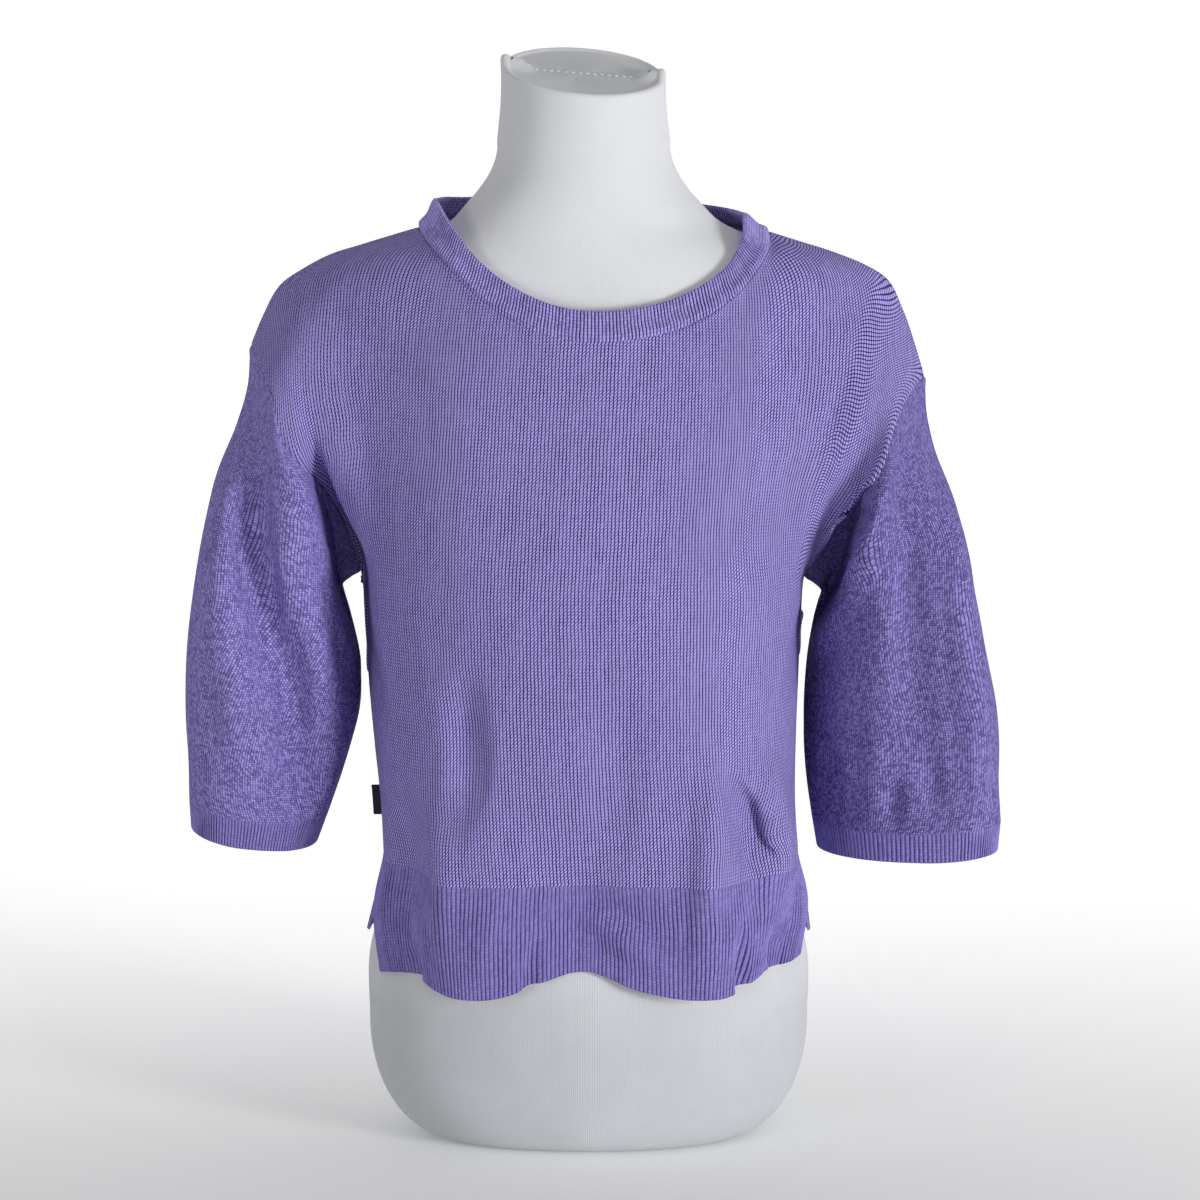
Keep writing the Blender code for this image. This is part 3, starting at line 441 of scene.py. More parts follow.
def neckline(across, face):
    """Points of the neck's seam: across runs from -1 at its left end to 1 at its right end."""
    left, right = shoulder_line(0.0, "left"), shoulder_line(0.0, "right")
    along = (across[:, None] + 1) / 2
    line = (1 - along) * left + along * right
    t = np.abs(across)
    if face < 0:
        # It falls in a shallower curve from the left than from the right.
        dip = NECK_DROP_FRONT * (1 - t**2) ** np.where(across < 0, 0.95, 0.54)
        round_in, depth = (1 - t**2.1) ** 0.52, NECK_FRONT_Y
    else:
        dip = NECK_DROP_BACK * (1 - t**2)
        round_in, depth = (1 - t**2.1) ** 0.52, NECK_BACK_Y
    line[:, 1] += (depth - line[:, 1]) * round_in
    line[:, 2] -= dip
    return line


def top_edge(columns, face):
    """The upper edge of a panel: left shoulder, neckline, right shoulder."""
    place = np.clip(columns / NECK_SHARE, -1, 1)
    place = 0.35 * place + 0.65 * np.sin(np.pi / 2 * place)  # closer together where the neck turns
    edge = neckline(place, face)
    out = (np.abs(columns) - NECK_SHARE) / (1 - NECK_SHARE)
    for side, of_side in (("left", columns < -NECK_SHARE), ("right", columns > NECK_SHARE)):
        edge[of_side] = shoulder_line(out[of_side], side)
    return edge


print("lowest place of the neck's seam, m:", np.round(top_edge(panel_columns(), -1)[:, 2].min(), 4))

# %% Rows above the underarm
def upper_rows(columns, base, face):
    """Rows from the underarm to the shoulder, between a level row and the panel's upper edge.

    The middle columns rise almost straight; outer ones stay at their depth and turn in over the
    shoulder. Near the sides each column follows the armhole's seam, and a row's depth there is a
    rounded greatest of its own and the seam's."""
    edge = top_edge(columns, face)
    even = np.linspace(0, 1, UPPER_CELLS + 1)
    left, right = armhole(even, "left", face), armhole(even, "right", face)
    turn = ease(np.abs(columns) / NECK_SHARE)
    near_left, near_right = ease((-columns - 0.30) / 0.70), ease((columns - 0.30) / 0.70)
    # Heights that space the rows evenly along a quarter of an ellipse, as tall as the armhole.
    fine = np.linspace(0, np.pi / 2, 181)
    up, over = np.sin(fine), 0.45 * np.cos(fine)
    length = arc(up, over)
    heights = np.interp(even * length[-1], length, up)
    rows = []
    for k, share in enumerate(heights[1:], 1):
        row = (1 - share) * base + share * edge
        depth = (1 - turn) * share + turn * (1 - np.sqrt(max(1 - share**2, 0)))
        own = np.abs(base[:, 1] + (edge[:, 1] - base[:, 1]) * depth)
        near = near_left[:, None] * (left[k] - row[0]) + near_right[:, None] * (right[k] - row[-1])
        side = near_left * abs(left[k, 1]) + near_right * abs(right[k, 1])
        row += near
        row[:, 1] = face * (own**SOFT_GREATEST + side**SOFT_GREATEST) ** (1 / SOFT_GREATEST)
        rows.append(row)
    rows[-1] = edge
    return rows


def relax(grid, times, weight=0.5):
    """Rounds a grid: each inner point moves towards the mean of its four neighbours."""
    for _ in range(times):
        near = grid[:-2, 1:-1] + grid[2:, 1:-1] + grid[1:-1, :-2] + grid[1:-1, 2:]
        grid[1:-1, 1:-1] += weight * (near / 4 - grid[1:-1, 1:-1])
    return grid


def body_grids(face):
    """The outer face of the front or back: its ribbed hem, and the rest of the panel above it."""
    columns = panel_columns()
    hem_z = FRONT_HEM_Z if face < 0 else BACK_HEM_Z
    hem = []
    for share in (1.0, 0.5, 0.0):
        row = body_row(columns, RIB_TOP_Z + (hem_z - RIB_TOP_Z) * share, face, share**1.5)
        if face < 0:
            row[:, 2] += share * read(FRONT_HEM_EDGE, HEM_COLUMNS, columns, "up")[0]
        hem.append(row)
    rows = [body_row(columns, z, face) for z in np.linspace(RIB_TOP_Z, UNDERARM_Z, LOWER_CELLS + 1)]
    rows[-1][0], rows[-1][-1] = armhole(0.0, "left", face), armhole(0.0, "right", face)
    rows += upper_rows(columns, rows[-1], face)
    panel = off_the_form(np.array(rows), WALL + FORM_CLEARANCE)
    panel[LOWER_CELLS:] = relax(panel[LOWER_CELLS:].copy(), 6)
    panel = off_the_form(panel, WALL + FORM_CLEARANCE)
    panel[-1] = off_the_form(panel[-1], BAND_WALL + FORM_CLEARANCE)
    hem = off_the_form(np.array(hem), RIB_WALL + FORM_CLEARANCE)
    hem[-1] = panel[0] = off_the_form(panel[0], RIB_WALL + FORM_CLEARANCE)
    return hem, panel


print("cells of a panel:", LOWER_CELLS + UPPER_CELLS, "rows of", PANEL_CELLS)

# %% [markdown]
# ## The coarse grids of the sleeves
#
# A sleeve is a tube that is sewn to the slanting armhole at its top and hangs down to a level cuff. Its rows
# therefore turn from the seam's shape to the sleeve's own sections over the first part of its length.

# %% Rows of a sleeve
def sleeve_angles():
    """Angles that space the points of a sleeve's typical section evenly, starting under the arm."""
    fine = np.linspace(0, 2 * np.pi, 721)
    x, y = superellipse(fine, 0.055, 0.066, SLEEVE_SQUARE)
    length = arc(x, y)
    count = 2 * UPPER_CELLS
    return np.interp(np.arange(count) / count * length[-1], length, fine)


def sleeve_row(angle, z, side):
    """The sleeve's own section, each point of it at its own height."""
    outer, inner, fore, aft = read(SLEEVES[side], SLEEVE_COLUMNS, z, *SLEEVE_COLUMNS[1:])
    x, y = superellipse(angle, (inner - outer) / 2, np.where(np.sin(angle) > 0, fore, aft), SLEEVE_SQUARE)
    turn = np.arange(len(angle)) / len(angle)
    out = fold_height(turn, z, SLEEVE_FOLDS[side])[:, None] * unit(np.stack([x, y], axis=-1))
    return np.stack([x + out[:, 0] + (inner + outer) / 2, -y - out[:, 1], z], axis=-1)


def sleeve_grids(side):
    """The outer face of a sleeve, from the armhole down to its ribbing, and that of the ribbing.

    A row starts under the arm and runs by the front to the outside, then by the back."""
    inner, fore, outer, aft = CUFF_EDGES[side]
    shares = np.linspace(0, 1, UPPER_CELLS + 1)
    seam = np.concatenate([armhole(shares, side, -1), armhole(shares, side, 1)[-2:0:-1]])
    angle = sleeve_angles()
    middle, tilt = (inner + outer) / 2, (inner - outer) / 2
    swing = np.where(np.sin(angle) > 0, fore, aft) - middle
    cuff_z = middle + tilt * np.cos(angle) + swing * np.sin(angle) ** 2
    rib_z = cuff_z + CUFF_HEIGHT
    sleeve = []
    under = np.cos(angle / 2) ** 8
    for share in np.linspace(0, 1, SLEEVE_CELLS + 1):
        z = seam[:, 2] + (rib_z - seam[:, 2]) * share ** (1 + LEVEL_UNDERARM * under)
        taken = ease(share / (TURN_OUTSIDE + (TURN_UNDERARM - TURN_OUTSIDE) * under))[:, None]
        row = taken * sleeve_row(angle, z, side) + (1 - taken) * seam
        row[:, 2] = z
        sleeve.append(row)
    cuff = [sleeve_row(angle, z, side) for z in (cuff_z, rib_z)]
    cuff[-1] = sleeve[-1]
    return np.array(cuff), np.array(sleeve)


print("cells of a sleeve:", SLEEVE_CELLS, "rows of", 2 * UPPER_CELLS)

# %% [markdown]
# ## From coarse cells to smooth surfaces
#
# A smooth curve through points $p_i$ has, at each point, half the step between its neighbours as its slope:
#
# $$p(i + t) = p_i + \tfrac{t}{2}\,[(p_{i+1} - p_{i-1}) + t\,(2p_{i-1} - 5p_i + 4p_{i+1} - p_{i+2})
# + t^2\,(3p_i - 3p_{i+1} + p_{i+2} - p_{i-1})]$$
#
# A surface takes such curves down the columns of its grid, and then along the rows of what they give. Fine
# lines are placed by counting coarse cells, with a few extra ones close to each seam.

# %% Smooth curves and surfaces
NEAR_SEAM = np.array([0.0, 0.03, 0.07, 0.12, 0.18])  # in coarse cells from a seam


def places(cells, per_cell, near_first=True, near_last=True):
    """Where fine lines lie along a row of coarse cells, with closer ones at the ends that are sewn."""
    at = np.arange(cells * per_cell + 1) / per_cell
    if near_first:
        at = np.concatenate([NEAR_SEAM, at[at > 0.21]])
    if near_last:
        at = np.concatenate([at[at < cells - 0.21], cells - NEAR_SEAM[::-1]])
    return at


def curve(points, at, ring=False):
    """Points of the smooth curve through a row of points, at places counted in steps between them."""
    points, at = np.asarray(points, float), np.asarray(at, float)
    i = np.floor(at + 1e-9).astype(int)
    if not ring:
        i = np.clip(i, 0, len(points) - 2)
    t = (at - i).reshape(-1, *[1] * (points.ndim - 1))
    if ring:
        a, b, c, d = (points[(i + k) % len(points)] for k in (-1, 0, 1, 2))
    else:
        ends = 2 * points[:1] - points[1:2], 2 * points[-1:] - points[-2:-1]
        longer = np.concatenate([ends[0], points, ends[1]])
        a, b, c, d = (longer[i + k] for k in range(4))
    return b + t / 2 * (c - a + t * (2 * a - 5 * b + 4 * c - d + t * (3 * (b - c) + d - a)))


def surface(grid, down, along, ring=False):
    """The smooth surface through a grid, with fine rows at the places down and columns at along."""
    rows = curve(grid, down)
    return curve(rows.swapaxes(0, 1), along, ring).swapaxes(0, 1)


def normals(grid, ring, turn):
    """Unit normals of a grid: turn times the cross product of the steps along a row and to the next row."""
    wide = np.concatenate([grid[:, -1:], grid, grid[:, :1]], axis=1) if ring else grid
    along = np.gradient(wide, axis=1)
    along = along[:, 1:-1] if ring else along
    return turn * unit(np.cross(along, np.gradient(grid, axis=0)))


def run(grid, axis):
    """Length along the grid's lines from the first point of each: the running sum of its steps."""
    step = np.linalg.norm(np.diff(grid, axis=axis), axis=-1)
    return np.concatenate([np.zeros_like(np.take(step, [0], axis)), np.cumsum(step, axis=axis)], axis=axis)


print("half way between 0, 1 and 4:", curve([0, 1, 4], [0.5, 1.5]))

# %% [markdown]
# ## Folds and seams
#
# The solids already hold the large folds. The softer ones that the photograph shows could be sculpted, but
# then they would be tied to one mesh. They are drawn here as lines over the cloth, as seen from one side:
# each is a row of (across, z, half width, height) in millimetres. At distance $d$ from the line the cloth
# stands out by $h\,(1 - (d/w)^2)^2$, with $h$ and $w$ read off the line at the nearest point, so that each
# fold swells and dies away unevenly. Negative heights are troughs.

# %% Creases of the body
# The axis that runs across each view, and the way from the cloth to the eye.
VIEWS = {"front": (0, (0, -1, 0)), "back": (0, (0, 1, 0)), "left": (1, (-1, 0, 0)), "right": (1, (1, 0, 0))}

BODY_CREASES = {
    "front": (
        # the belly and the hem, from the left: valleys and ridges that start below the bust
        ((-80, 348, 14, 0), (-82, 320, 19, -6.6), (-80, 295, 20, -9.6), (-80, 270, 20, -8.6),
         (-88, 245, 18, -4.8), (-100, 225, 18, 0)),
        ((-128, 266, 12, 0), (-124, 240, 18, -5.8), (-121, 215, 20, -8.4), (-120, 192, 20, -6.8),
         (-123, 168, 16, -3), (-126, 148, 12, 0)),
        ((-110, 242, 12, 0), (-100, 215, 16, 4.8), (-98, 190, 16, 5.6), (-103, 160, 14, 2.2),
         (-102, 135, 12, 0.8)),
        ((18, 348, 22, 0), (20, 310, 26, -4), (20, 275, 26, -5.2), (16, 240, 24, -3.8), (12, 205, 22, 0)),
        ((84, 288, 12, 0), (83, 262, 14, 3.4), (82, 237, 16, 5.8), (81, 203, 16, 7.2), (80, 168, 16, 5.8),
         (79, 132, 15, 2.6)),
        ((98, 272, 10, 0), (104, 243, 13, -3), (108, 215, 14, -4), (110, 190, 14, -3),
         (113, 165, 12, -0.8)),
        ((120, 280, 12, 0), (126, 245, 16, 8.6), (129, 213, 17, 12.5), (131, 186, 16, 9),
         (132, 160, 14, 2.6)),
        # short ones at the hem's edge, and three that slant across it
        ((103.5, 172, 5, 0), (104.5, 152, 6, -4.9), (105, 125, 7, -7)),
        ((125, 165, 5, 0), (127, 152, 6, -3.2), (128, 135, 7, -4.9)),
        ((-33, 168, 6, 0), (-36, 150, 7, -3.8), (-38, 125, 9, -6.2)),
        ((-117, 160, 5, 0), (-118, 144, 6, -4.1), (-119, 120, 7, -6.2)),
        ((-18, 182, 10, 0), (4, 169, 12, 2.7), (28, 154, 12, 3.5), (52, 138, 12, 1.4)),
        ((0, 190, 10, 0), (22, 176, 12, -3), (46, 162, 12, -3.5), (66, 150, 10, 0)),
        ((-60, 200, 10, 0), (-66, 172, 12, 2.4), (-74, 140, 12, 1.9)),
        # beside the bust, down from the armholes
        ((-178, 532, 14, 0), (-171, 500, 16, 3.4), (-164, 475, 18, 5), (-156, 445, 18, 3.4),
         (-148, 412, 18, 0)),
        ((-200, 535, 10, 0), (-200, 515, 12, 2.6), (-196, 492, 12, 3.6), (-190, 470, 10, 2)),
        ((190, 545, 14, 0), (177, 505, 18, 3.8), (162, 465, 20, 5), (150, 430, 20, 3.2), (142, 395, 18, 0)),
        ((198, 525, 10, 0), (187, 492, 14, -5), (176, 462, 15, -8.6), (166, 434, 14, -6),
         (158, 412, 12, 0)),
    ),
    "back": (
        # the back, which hangs from the shoulder blades
        ((-90, 470, 24, 0), (-86, 400, 28, -5), (-78, 330, 30, -6.6), (-74, 260, 30, -4.6),
         (-70, 205, 30, 0)),
        ((-118, 300, 14, 0), (-114, 260, 16, 3.6), (-112, 215, 16, 4.8), (-110, 165, 14, 3)),
        ((66, 420, 20, 0), (72, 350, 26, -5.4), (80, 280, 28, -6.4), (86, 215, 28, -3)),
        ((118, 285, 12, 0), (112, 245, 14, -4.6), (106, 205, 14, -5), (103, 165, 12, -2)),
        ((-20, 340, 16, 0), (-14, 290, 20, 3), (-6, 235, 20, 4.4), (0, 200, 20, 3), (4, 160, 18, 1.6)),
        ((36, 178, 6, 0), (37, 162, 7, -2.8), (38, 140, 9, -4.4)),
        ((-56, 176, 6, 0), (-58, 160, 7, -2.6), (-58, 140, 9, -4)),
        ((-186, 500, 12, 0), (-176, 465, 15, -6), (-164, 430, 16, -6.6), (-154, 400, 14, 0)),
        ((-164, 490, 14, 0), (-152, 440, 16, 3.8), (-138, 395, 18, 0)),
        ((176, 480, 12, 0), (168, 450, 15, -5.2), (156, 415, 16, -6), (148, 390, 14, 0)),
        ((158, 470, 14, 0), (146, 425, 16, 3.4), (130, 380, 18, 0)),
    ),
}
print("creases of the body:", {view: len(lines) for view, lines in BODY_CREASES.items()})

# %% Creases of the sleeves
SLEEVE_CREASES = {
    "left": {
        "front": (
            # the rolled edge in front of the hollow under the arm
            ((-190, 455, 7, 0), (-184, 434, 9, 4.2), (-182, 400, 9, 5.5), (-176, 370, 8, 5.5),
             (-168, 350, 8, 4.5), (-160, 332, 7, 2.5), (-154, 315, 6, 0)),
            # a ridge down from the shoulder's flap, the valley outside it, and the sleeve's outer lobe
            ((-204, 526, 10, 0), (-201, 500, 13, 5), (-197, 474, 14, 7.5), (-195, 447, 14, 8.8),
             (-192, 413, 14, 9), (-189, 379, 14, 7.5), (-184, 348, 13, 5), (-176, 315, 12, 0)),
            ((-230, 535, 12, 0), (-229, 500, 16, -5.5), (-227, 455, 19, -9), (-224, 418, 19, -9.5),
             (-218, 384, 18, -8.8), (-209, 350, 17, -7.2), (-201, 316, 16, -6.8), (-197, 275, 15, -5),
             (-197, 240, 12, 0)),
            ((-250, 450, 14, 0), (-250, 400, 18, 3), (-244, 340, 20, 4.5), (-236, 285, 18, 3.2),
             (-230, 245, 14, 0)),
            ((-252, 345, 10, 0), (-255, 310, 12, -2.8), (-254, 275, 12, 0)),
        ),
        "back": (
            ((-214, 520, 12, 0), (-218, 470, 16, -6.3), (-220, 410, 18, -8.3), (-216, 340, 18, -6.3),
             (-214, 270, 16, 0)),
            ((-190, 470, 12, 0), (-192, 420, 14, 5.5), (-190, 360, 14, 5), (-186, 310, 12, 0)),
        ),
        "left": (
            ((6, 500, 14, 0), (14, 430, 17, -3.2), (20, 350, 18, -4.5), (20, 270, 16, 0)),
            ((-18, 330, 12, 0), (-14, 280, 14, -2.5), (-12, 235, 12, 0)),
        ),
    },
    "right": {
        "front": (
            ((196, 462, 7, 0), (193, 440, 9, 4.2), (190, 415, 9, 5.9), (183, 393, 9, 6.4),
             (174, 374, 8, 6.2), (165, 354, 8, 4.8), (155, 336, 7, 2.5), (148, 320, 6, 0)),
            ((204, 552, 10, 0), (199, 520, 13, 5), (197, 494, 14, 7.6), (194, 462, 14, 8.4),
             (190, 432, 14, 7.8), (187, 400, 14, 5.6), (183, 372, 12, 0)),
            ((214, 510, 12, 0), (214, 470, 16, -5.9), (215, 430, 18, -7.8), (216, 385, 20, -8.1),
             (219, 340, 20, -7), (224, 290, 18, -4.2), (228, 255, 14, 0)),
            ((236, 480, 12, 0), (246, 430, 16, 5), (252, 382, 18, 7), (258, 334, 18, 6.4),
             (262, 286, 16, 3.6), (264, 245, 12, 0)),
            ((196, 310, 10, 0), (197, 280, 14, 3.6), (196, 248, 14, 4.2), (194, 215, 12, 1.7)),
            ((168, 285, 8, 0), (168, 262, 10, -4.2), (170, 240, 10, 0)),
            ((208, 262, 8, 0), (209, 243, 10, -4.2), (210, 222, 9, -2)),
            ((232, 285, 10, 0), (234, 260, 12, -3.9), (238, 232, 10, 0)),
        ),
        "back": (
            ((206, 500, 12, 0), (212, 450, 16, -6.7), (216, 390, 18, -8.7), (220, 320, 18, -7),
             (224, 250, 14, 0)),
            ((184, 450, 12, 0), (186, 400, 14, 5.6), (184, 340, 14, 4.8), (182, 290, 12, 0)),
        ),
        "right": (
            ((4, 490, 14, 0), (10, 420, 17, -3.4), (14, 340, 18, -4.8), (14, 260, 16, 0)),
        ),
    },
}
counts = {side: sum(map(len, table.values())) for side, table in SLEEVE_CREASES.items()}
print("creases of the sleeves:", counts)

# %% Hollows
# One in front of each underarm, one behind it, and one above the hem: (x, z, half width, how far back). They
# move cloth straight back or forth in y, the same on both sides of a seam, so that the armholes stay closed.
HOLLOWS = {
    "front": (
        ((-190, 502, 7, 0), (-184, 482, 10, 8), (-179, 458, 12, 30), (-172, 434, 14, 62),
         (-165, 413, 16, 80), (-162, 394, 17, 80), (-160, 374, 16, 62), (-156, 354, 15, 42),
         (-150, 336, 13, 26), (-145, 318, 11, 14), (-141, 298, 9, 0)),
        ((190, 464, 6, 0), (186, 450, 10, 18), (181, 437, 12, 42), (175, 422, 13, 64), (169, 407, 14, 70),
         (163, 392, 15, 70), (157, 375, 15, 48), (150, 358, 14, 34), (145, 342, 12, 22), (141, 326, 10, 10),
         (138, 310, 8, 0)),
        ((86, 282, 10, 0), (95, 264, 12, 4), (103, 248, 14, 9), (109, 234, 15, 12), (113, 221, 14, 10),
         (116, 209, 12, 5), (118, 197, 10, 0)),
    ),
    "back": (
        ((-186, 470, 8, 0), (-178, 440, 14, 12), (-168, 412, 18, 18), (-162, 385, 14, 10),
         (-160, 362, 10, 0)),
        ((178, 450, 8, 0), (172, 428, 14, 12), (163, 402, 17, 16), (158, 378, 13, 9), (155, 358, 10, 0)),
    ),
}
print("hollows:", {view: len(lines) for view, lines in HOLLOWS.items()})

# %% How the lines move the cloth
def near_line(points, axis, line):
    """How near points are to a line of the tables, as (1 - (d/w)^2)^2, and the line's height there."""
    line = curve(np.divide(line, 1000), np.linspace(0, len(line) - 1, 6 * len(line)))
    spot = points[..., None, [axis, 2]]
    start, step = line[:-1, :2], np.diff(line[:, :2], axis=0)
    t = np.clip(((spot - start) * step).sum(-1) / (step**2).sum(-1), 0, 1)
    distance = np.linalg.norm(start + t[..., None] * step - spot, axis=-1)
    nearest = distance.argmin(-1)
    distance, t = (np.take_along_axis(v, nearest[..., None], -1)[..., 0] for v in (distance, t))
    width, height = (line[nearest, k] * (1 - t) + line[nearest + 1, k] * t for k in (2, 3))
    return np.clip(1 - (distance / width) ** 2, 0, 1) ** 2, height


def crease_height(points, normal, creases):
    """How far a table's creases lift each point of a surface, along its normal.

    A crease acts on the side that it is drawn on: its height is multiplied by a smooth step of the
    normal's part towards that side, which is 0 where the surface turns its edge to it."""
    out = np.zeros(points.shape[:-1])
    for view, lines in creases.items():
        axis, towards = VIEWS[view]
        seen = ease((normal @ towards + 0.1) / 0.5)
        for line in lines:
            near, height = near_line(points, axis, line)
            out += height * near * seen
    return out


def hollowed(points):
    """Moves points back into the hollows, on the hollow's side of y = 0 only.

    A point with room r behind it goes back by r tanh(d / r), for the depth d of the table, so that it
    never passes the plane of the side seams."""
    points = points.copy()
    for view, lines in HOLLOWS.items():
        side = VIEWS[view][1][1]
        for line in lines:
            near, depth = near_line(points, 0, line)
            room = np.maximum(side * points[..., 1] - 0.003, 1e-6)
            points[..., 1] -= side * room * np.tanh(depth * ease(1.2 * near) / room)
    return points


def seam_height(distance):
    """Sewn edges sink into a narrow groove beside a low welt: two bells of the distance to the seam."""
    groove_there = -0.0009 * np.exp(-((distance / 0.0012) ** 2))
    return groove_there + 0.0005 * np.exp(-(((distance - 0.0038) / 0.0020) ** 2))


CREASE_FADE = 0.014  # creases die away over this distance to a seam or a slit
print("a seam's groove and its welt, mm:", np.round(1000 * seam_height(np.array([0, 0.004])), 2))

# %% [markdown]
# ## From a surface to a thin closed shell
#
# A piece of cloth is an outer grid of points and an inner one, a cloth's thickness behind it. Faces join
# neighbours within each grid, and the two grids along the rims. A free edge gets a few lines beyond it, which
# bring the two faces together in a half circle. Each face corner also has a place in the knit: which wale it
# is on (u) and which course (v), so that the stitches follow the cloth.

# %% The knit's pitch, and the cells of a grid
WALE = 0.00246  # width of a stitch
COURSE = 0.00230  # height of a stitch
SLEEVE_STITCH = 0.72  # the sleeves look finer knitted: the size of their stitches, by the body's
RIB = 0.0025  # width of a rib of the neckband


def wrapped(grid):
    """A grid with its first column once more at its end, where a ring closes."""
    return np.concatenate([grid, grid[:, :1]], axis=1)


def numbered(grid):
    """The numbers of a grid's points, row by row."""
    return np.arange(grid.shape[0] * grid.shape[1]).reshape(grid.shape[:2])


def quads(number):
    """The four corners of each cell of a grid of numbers."""
    corners = (number[:-1, :-1], number[:-1, 1:], number[1:, 1:], number[1:, :-1])
    return np.stack(corners, -1).reshape(-1, 4)


print("the cells of a grid of 2 by 3 points:", quads(numbered(np.zeros((2, 3)))).tolist())

# %% Rounded edges and shells
def rounded(outer, inner, place, edge):
    """Adds lines beyond an edge of a shell's grids, in a half circle as thick as the cloth.

    At an angle t on it, a line stands out by r sin t and its two faces are r cos t from the middle."""
    columns, last = edge in ("left", "right"), edge in ("last", "right")
    grids = [g.swapaxes(0, 1) if columns else g for g in (outer, inner, place)]
    grids = [g[::-1] if last else g for g in grids]
    face, back, spot = (g[0] for g in grids)
    away = unit(face - grids[0][1])
    middle, half = (face + back) / 2, (face - back) / 2
    radius = np.linalg.norm(half, axis=-1, keepdims=True)
    step = spot - grids[2][1]
    step /= np.maximum(np.abs(step).max(), 1e-9)
    for angle in np.radians([30, 60, 84]):
        lines = (
            middle + half * np.cos(angle) + away * radius * np.sin(angle),
            middle - half * np.cos(angle) + away * radius * np.sin(angle),
            spot + step * 0.5 * np.sin(angle),
        )
        grids = [np.concatenate([line[None], g]) for line, g in zip(lines, grids)]
    grids = [g[::-1] if last else g for g in grids]
    return [g.swapaxes(0, 1) if columns else g for g in grids]


def shell(name, outer, inner, place, ring=False, turn=1):
    """One closed shell of quads, whose outer faces look along turn times the grid's cross product."""
    number = numbered(outer)
    far = number.size
    number = wrapped(number) if ring else number
    spot = numbered(number)
    cell, at = quads(number), quads(spot)
    faces, corners = [cell, cell[:, ::-1] + far], [at, at[:, ::-1]]
    rims = [(number[0], spot[0]), (number[-1, ::-1], spot[-1, ::-1])]
    if not ring:
        rims += [(number[::-1, 0], spot[::-1, 0]), (number[:, -1], spot[:, -1])]
    for line, where in rims:
        faces.append(np.stack([line[1:], line[:-1], line[:-1] + far, line[1:] + far], -1))
        corners.append(np.stack([where[1:], where[:-1], where[:-1], where[1:]], -1))
    faces, corners = np.concatenate(faces)[:, ::turn], np.concatenate(corners)[:, ::turn]
    points = np.concatenate([outer.reshape(-1, 3), inner.reshape(-1, 3)])
    return piece(name, points, faces, place.reshape(-1, 2)[corners.reshape(-1)])


def piece(name, points, faces, place):
    """A mesh object made of four-cornered faces, with each face corner's place in the knit."""
    mesh = bpy.data.meshes.new(name)
    mesh.vertices.add(len(points))
    mesh.vertices.foreach_set("co", points.astype(np.float32).ravel())
    mesh.loops.add(faces.size)
    mesh.loops.foreach_set("vertex_index", faces.astype(np.int32).ravel())
    mesh.polygons.add(len(faces))
    mesh.polygons.foreach_set("loop_start", np.arange(0, faces.size, 4, dtype=np.int32))
    mesh.update(calc_edges=True)
    mesh.uv_layers.new(name="stitches").data.foreach_set("uv", place.astype(np.float32).ravel())
    mesh.shade_smooth()
    mesh.set_sharp_from_angle(angle=np.radians(60))
    made = bpy.data.objects.new(name + "_knit" if name in frame["nodes"] else name, mesh)
    bpy.context.scene.collection.objects.link(made)
    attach(made, "root")
    made_pieces[name] = made
    print(f"{name}: {2 * len(faces)} triangles")
    return made


made_pieces = {}
print("stitches and courses in 10 cm:", round(0.1 / WALE), round(0.1 / COURSE))

# %% [markdown]
# ## The body
#
# A panel's fine surface is pinned to the lines that it is sewn along: the two shoulders and the neckline
# meet in a corner, so the upper edge is three curves. Its wales are its columns. A course is counted along
# a column, so that the neckline cuts across level courses.

# %% The two panels
DOWN = places(LOWER_CELLS, 16, near_last=False)[:-1], LOWER_CELLS + places(UPPER_CELLS, 8, False)
DOWN = np.concatenate(DOWN)
ACROSS = np.unique(np.concatenate([places(PANEL_CELLS, 6), np.arange(PANEL_CELLS)[1:]]))
NECK_AT = (SHOULDER_CELLS, SHOULDER_CELLS + NECK_CELLS)
HALF_WALES = 100  # of a panel, from its middle to a side
# How near the inside of the finer cloth may come to the form.
PANEL_CLEARANCE, HEM_CLEARANCE, BAND_CLEARANCE = 0.0016, 0.0012, 0.0022


def pinned(fine, line, fade):
    """Moves the last row of a surface onto a line; rows before it move by a share, fade, of that."""
    return fine + fade[:, None, None] * (line - fine[-1])


def fine_panel(panel):
    """A panel's smooth outer face, with the corners of its neckline kept."""
    fine = surface(panel, DOWN, ACROSS)
    low, high = NECK_AT
    parts = (ACROSS <= low, (ACROSS > low) & (ACROSS < high), ACROSS >= high)
    edge = np.concatenate([
        curve(panel[-1, : low + 1], ACROSS[parts[0]]),
        curve(panel[-1, low : high + 1], ACROSS[parts[1]] - low),
        curve(panel[-1, high:], ACROSS[parts[2]] - high),
    ])
    return hollowed(pinned(fine, edge, ease(DOWN - (DOWN[-1] - 1))))


def folded_panel(fine, turn, creases):
    """Presses creases and seams into a panel, and keeps it clear of the form."""
    out = normals(fine, False, turn)
    to_left, up = run(fine, 1), run(fine, 0)
    to_right, to_top = to_left[:, -1:] - to_left, up[-1:] - up
    near = np.minimum(np.minimum(to_left, to_right), to_top)
    height = crease_height(fine, out, creases) * ease(near / CREASE_FADE)
    fine = fine + (height + seam_height(near))[..., None] * out
    return off_the_form(fine, WALL + PANEL_CLEARANCE), up


def panel_wales(fine):
    """The wale count of a panel: true width from its middle, bent towards the armholes near its sides."""
    away = ACROSS / (ACROSS[-1] / 2) - 1
    width = run(fine, 1)
    width = (width - width[:, len(ACROSS) // 2][:, None]) / WALE
    half = np.where(away < 0, -width[:, :1], width[:, -1:])
    return width + np.sign(away) * ease((np.abs(away) - 0.2) / 0.8) * (HALF_WALES - half) / 2


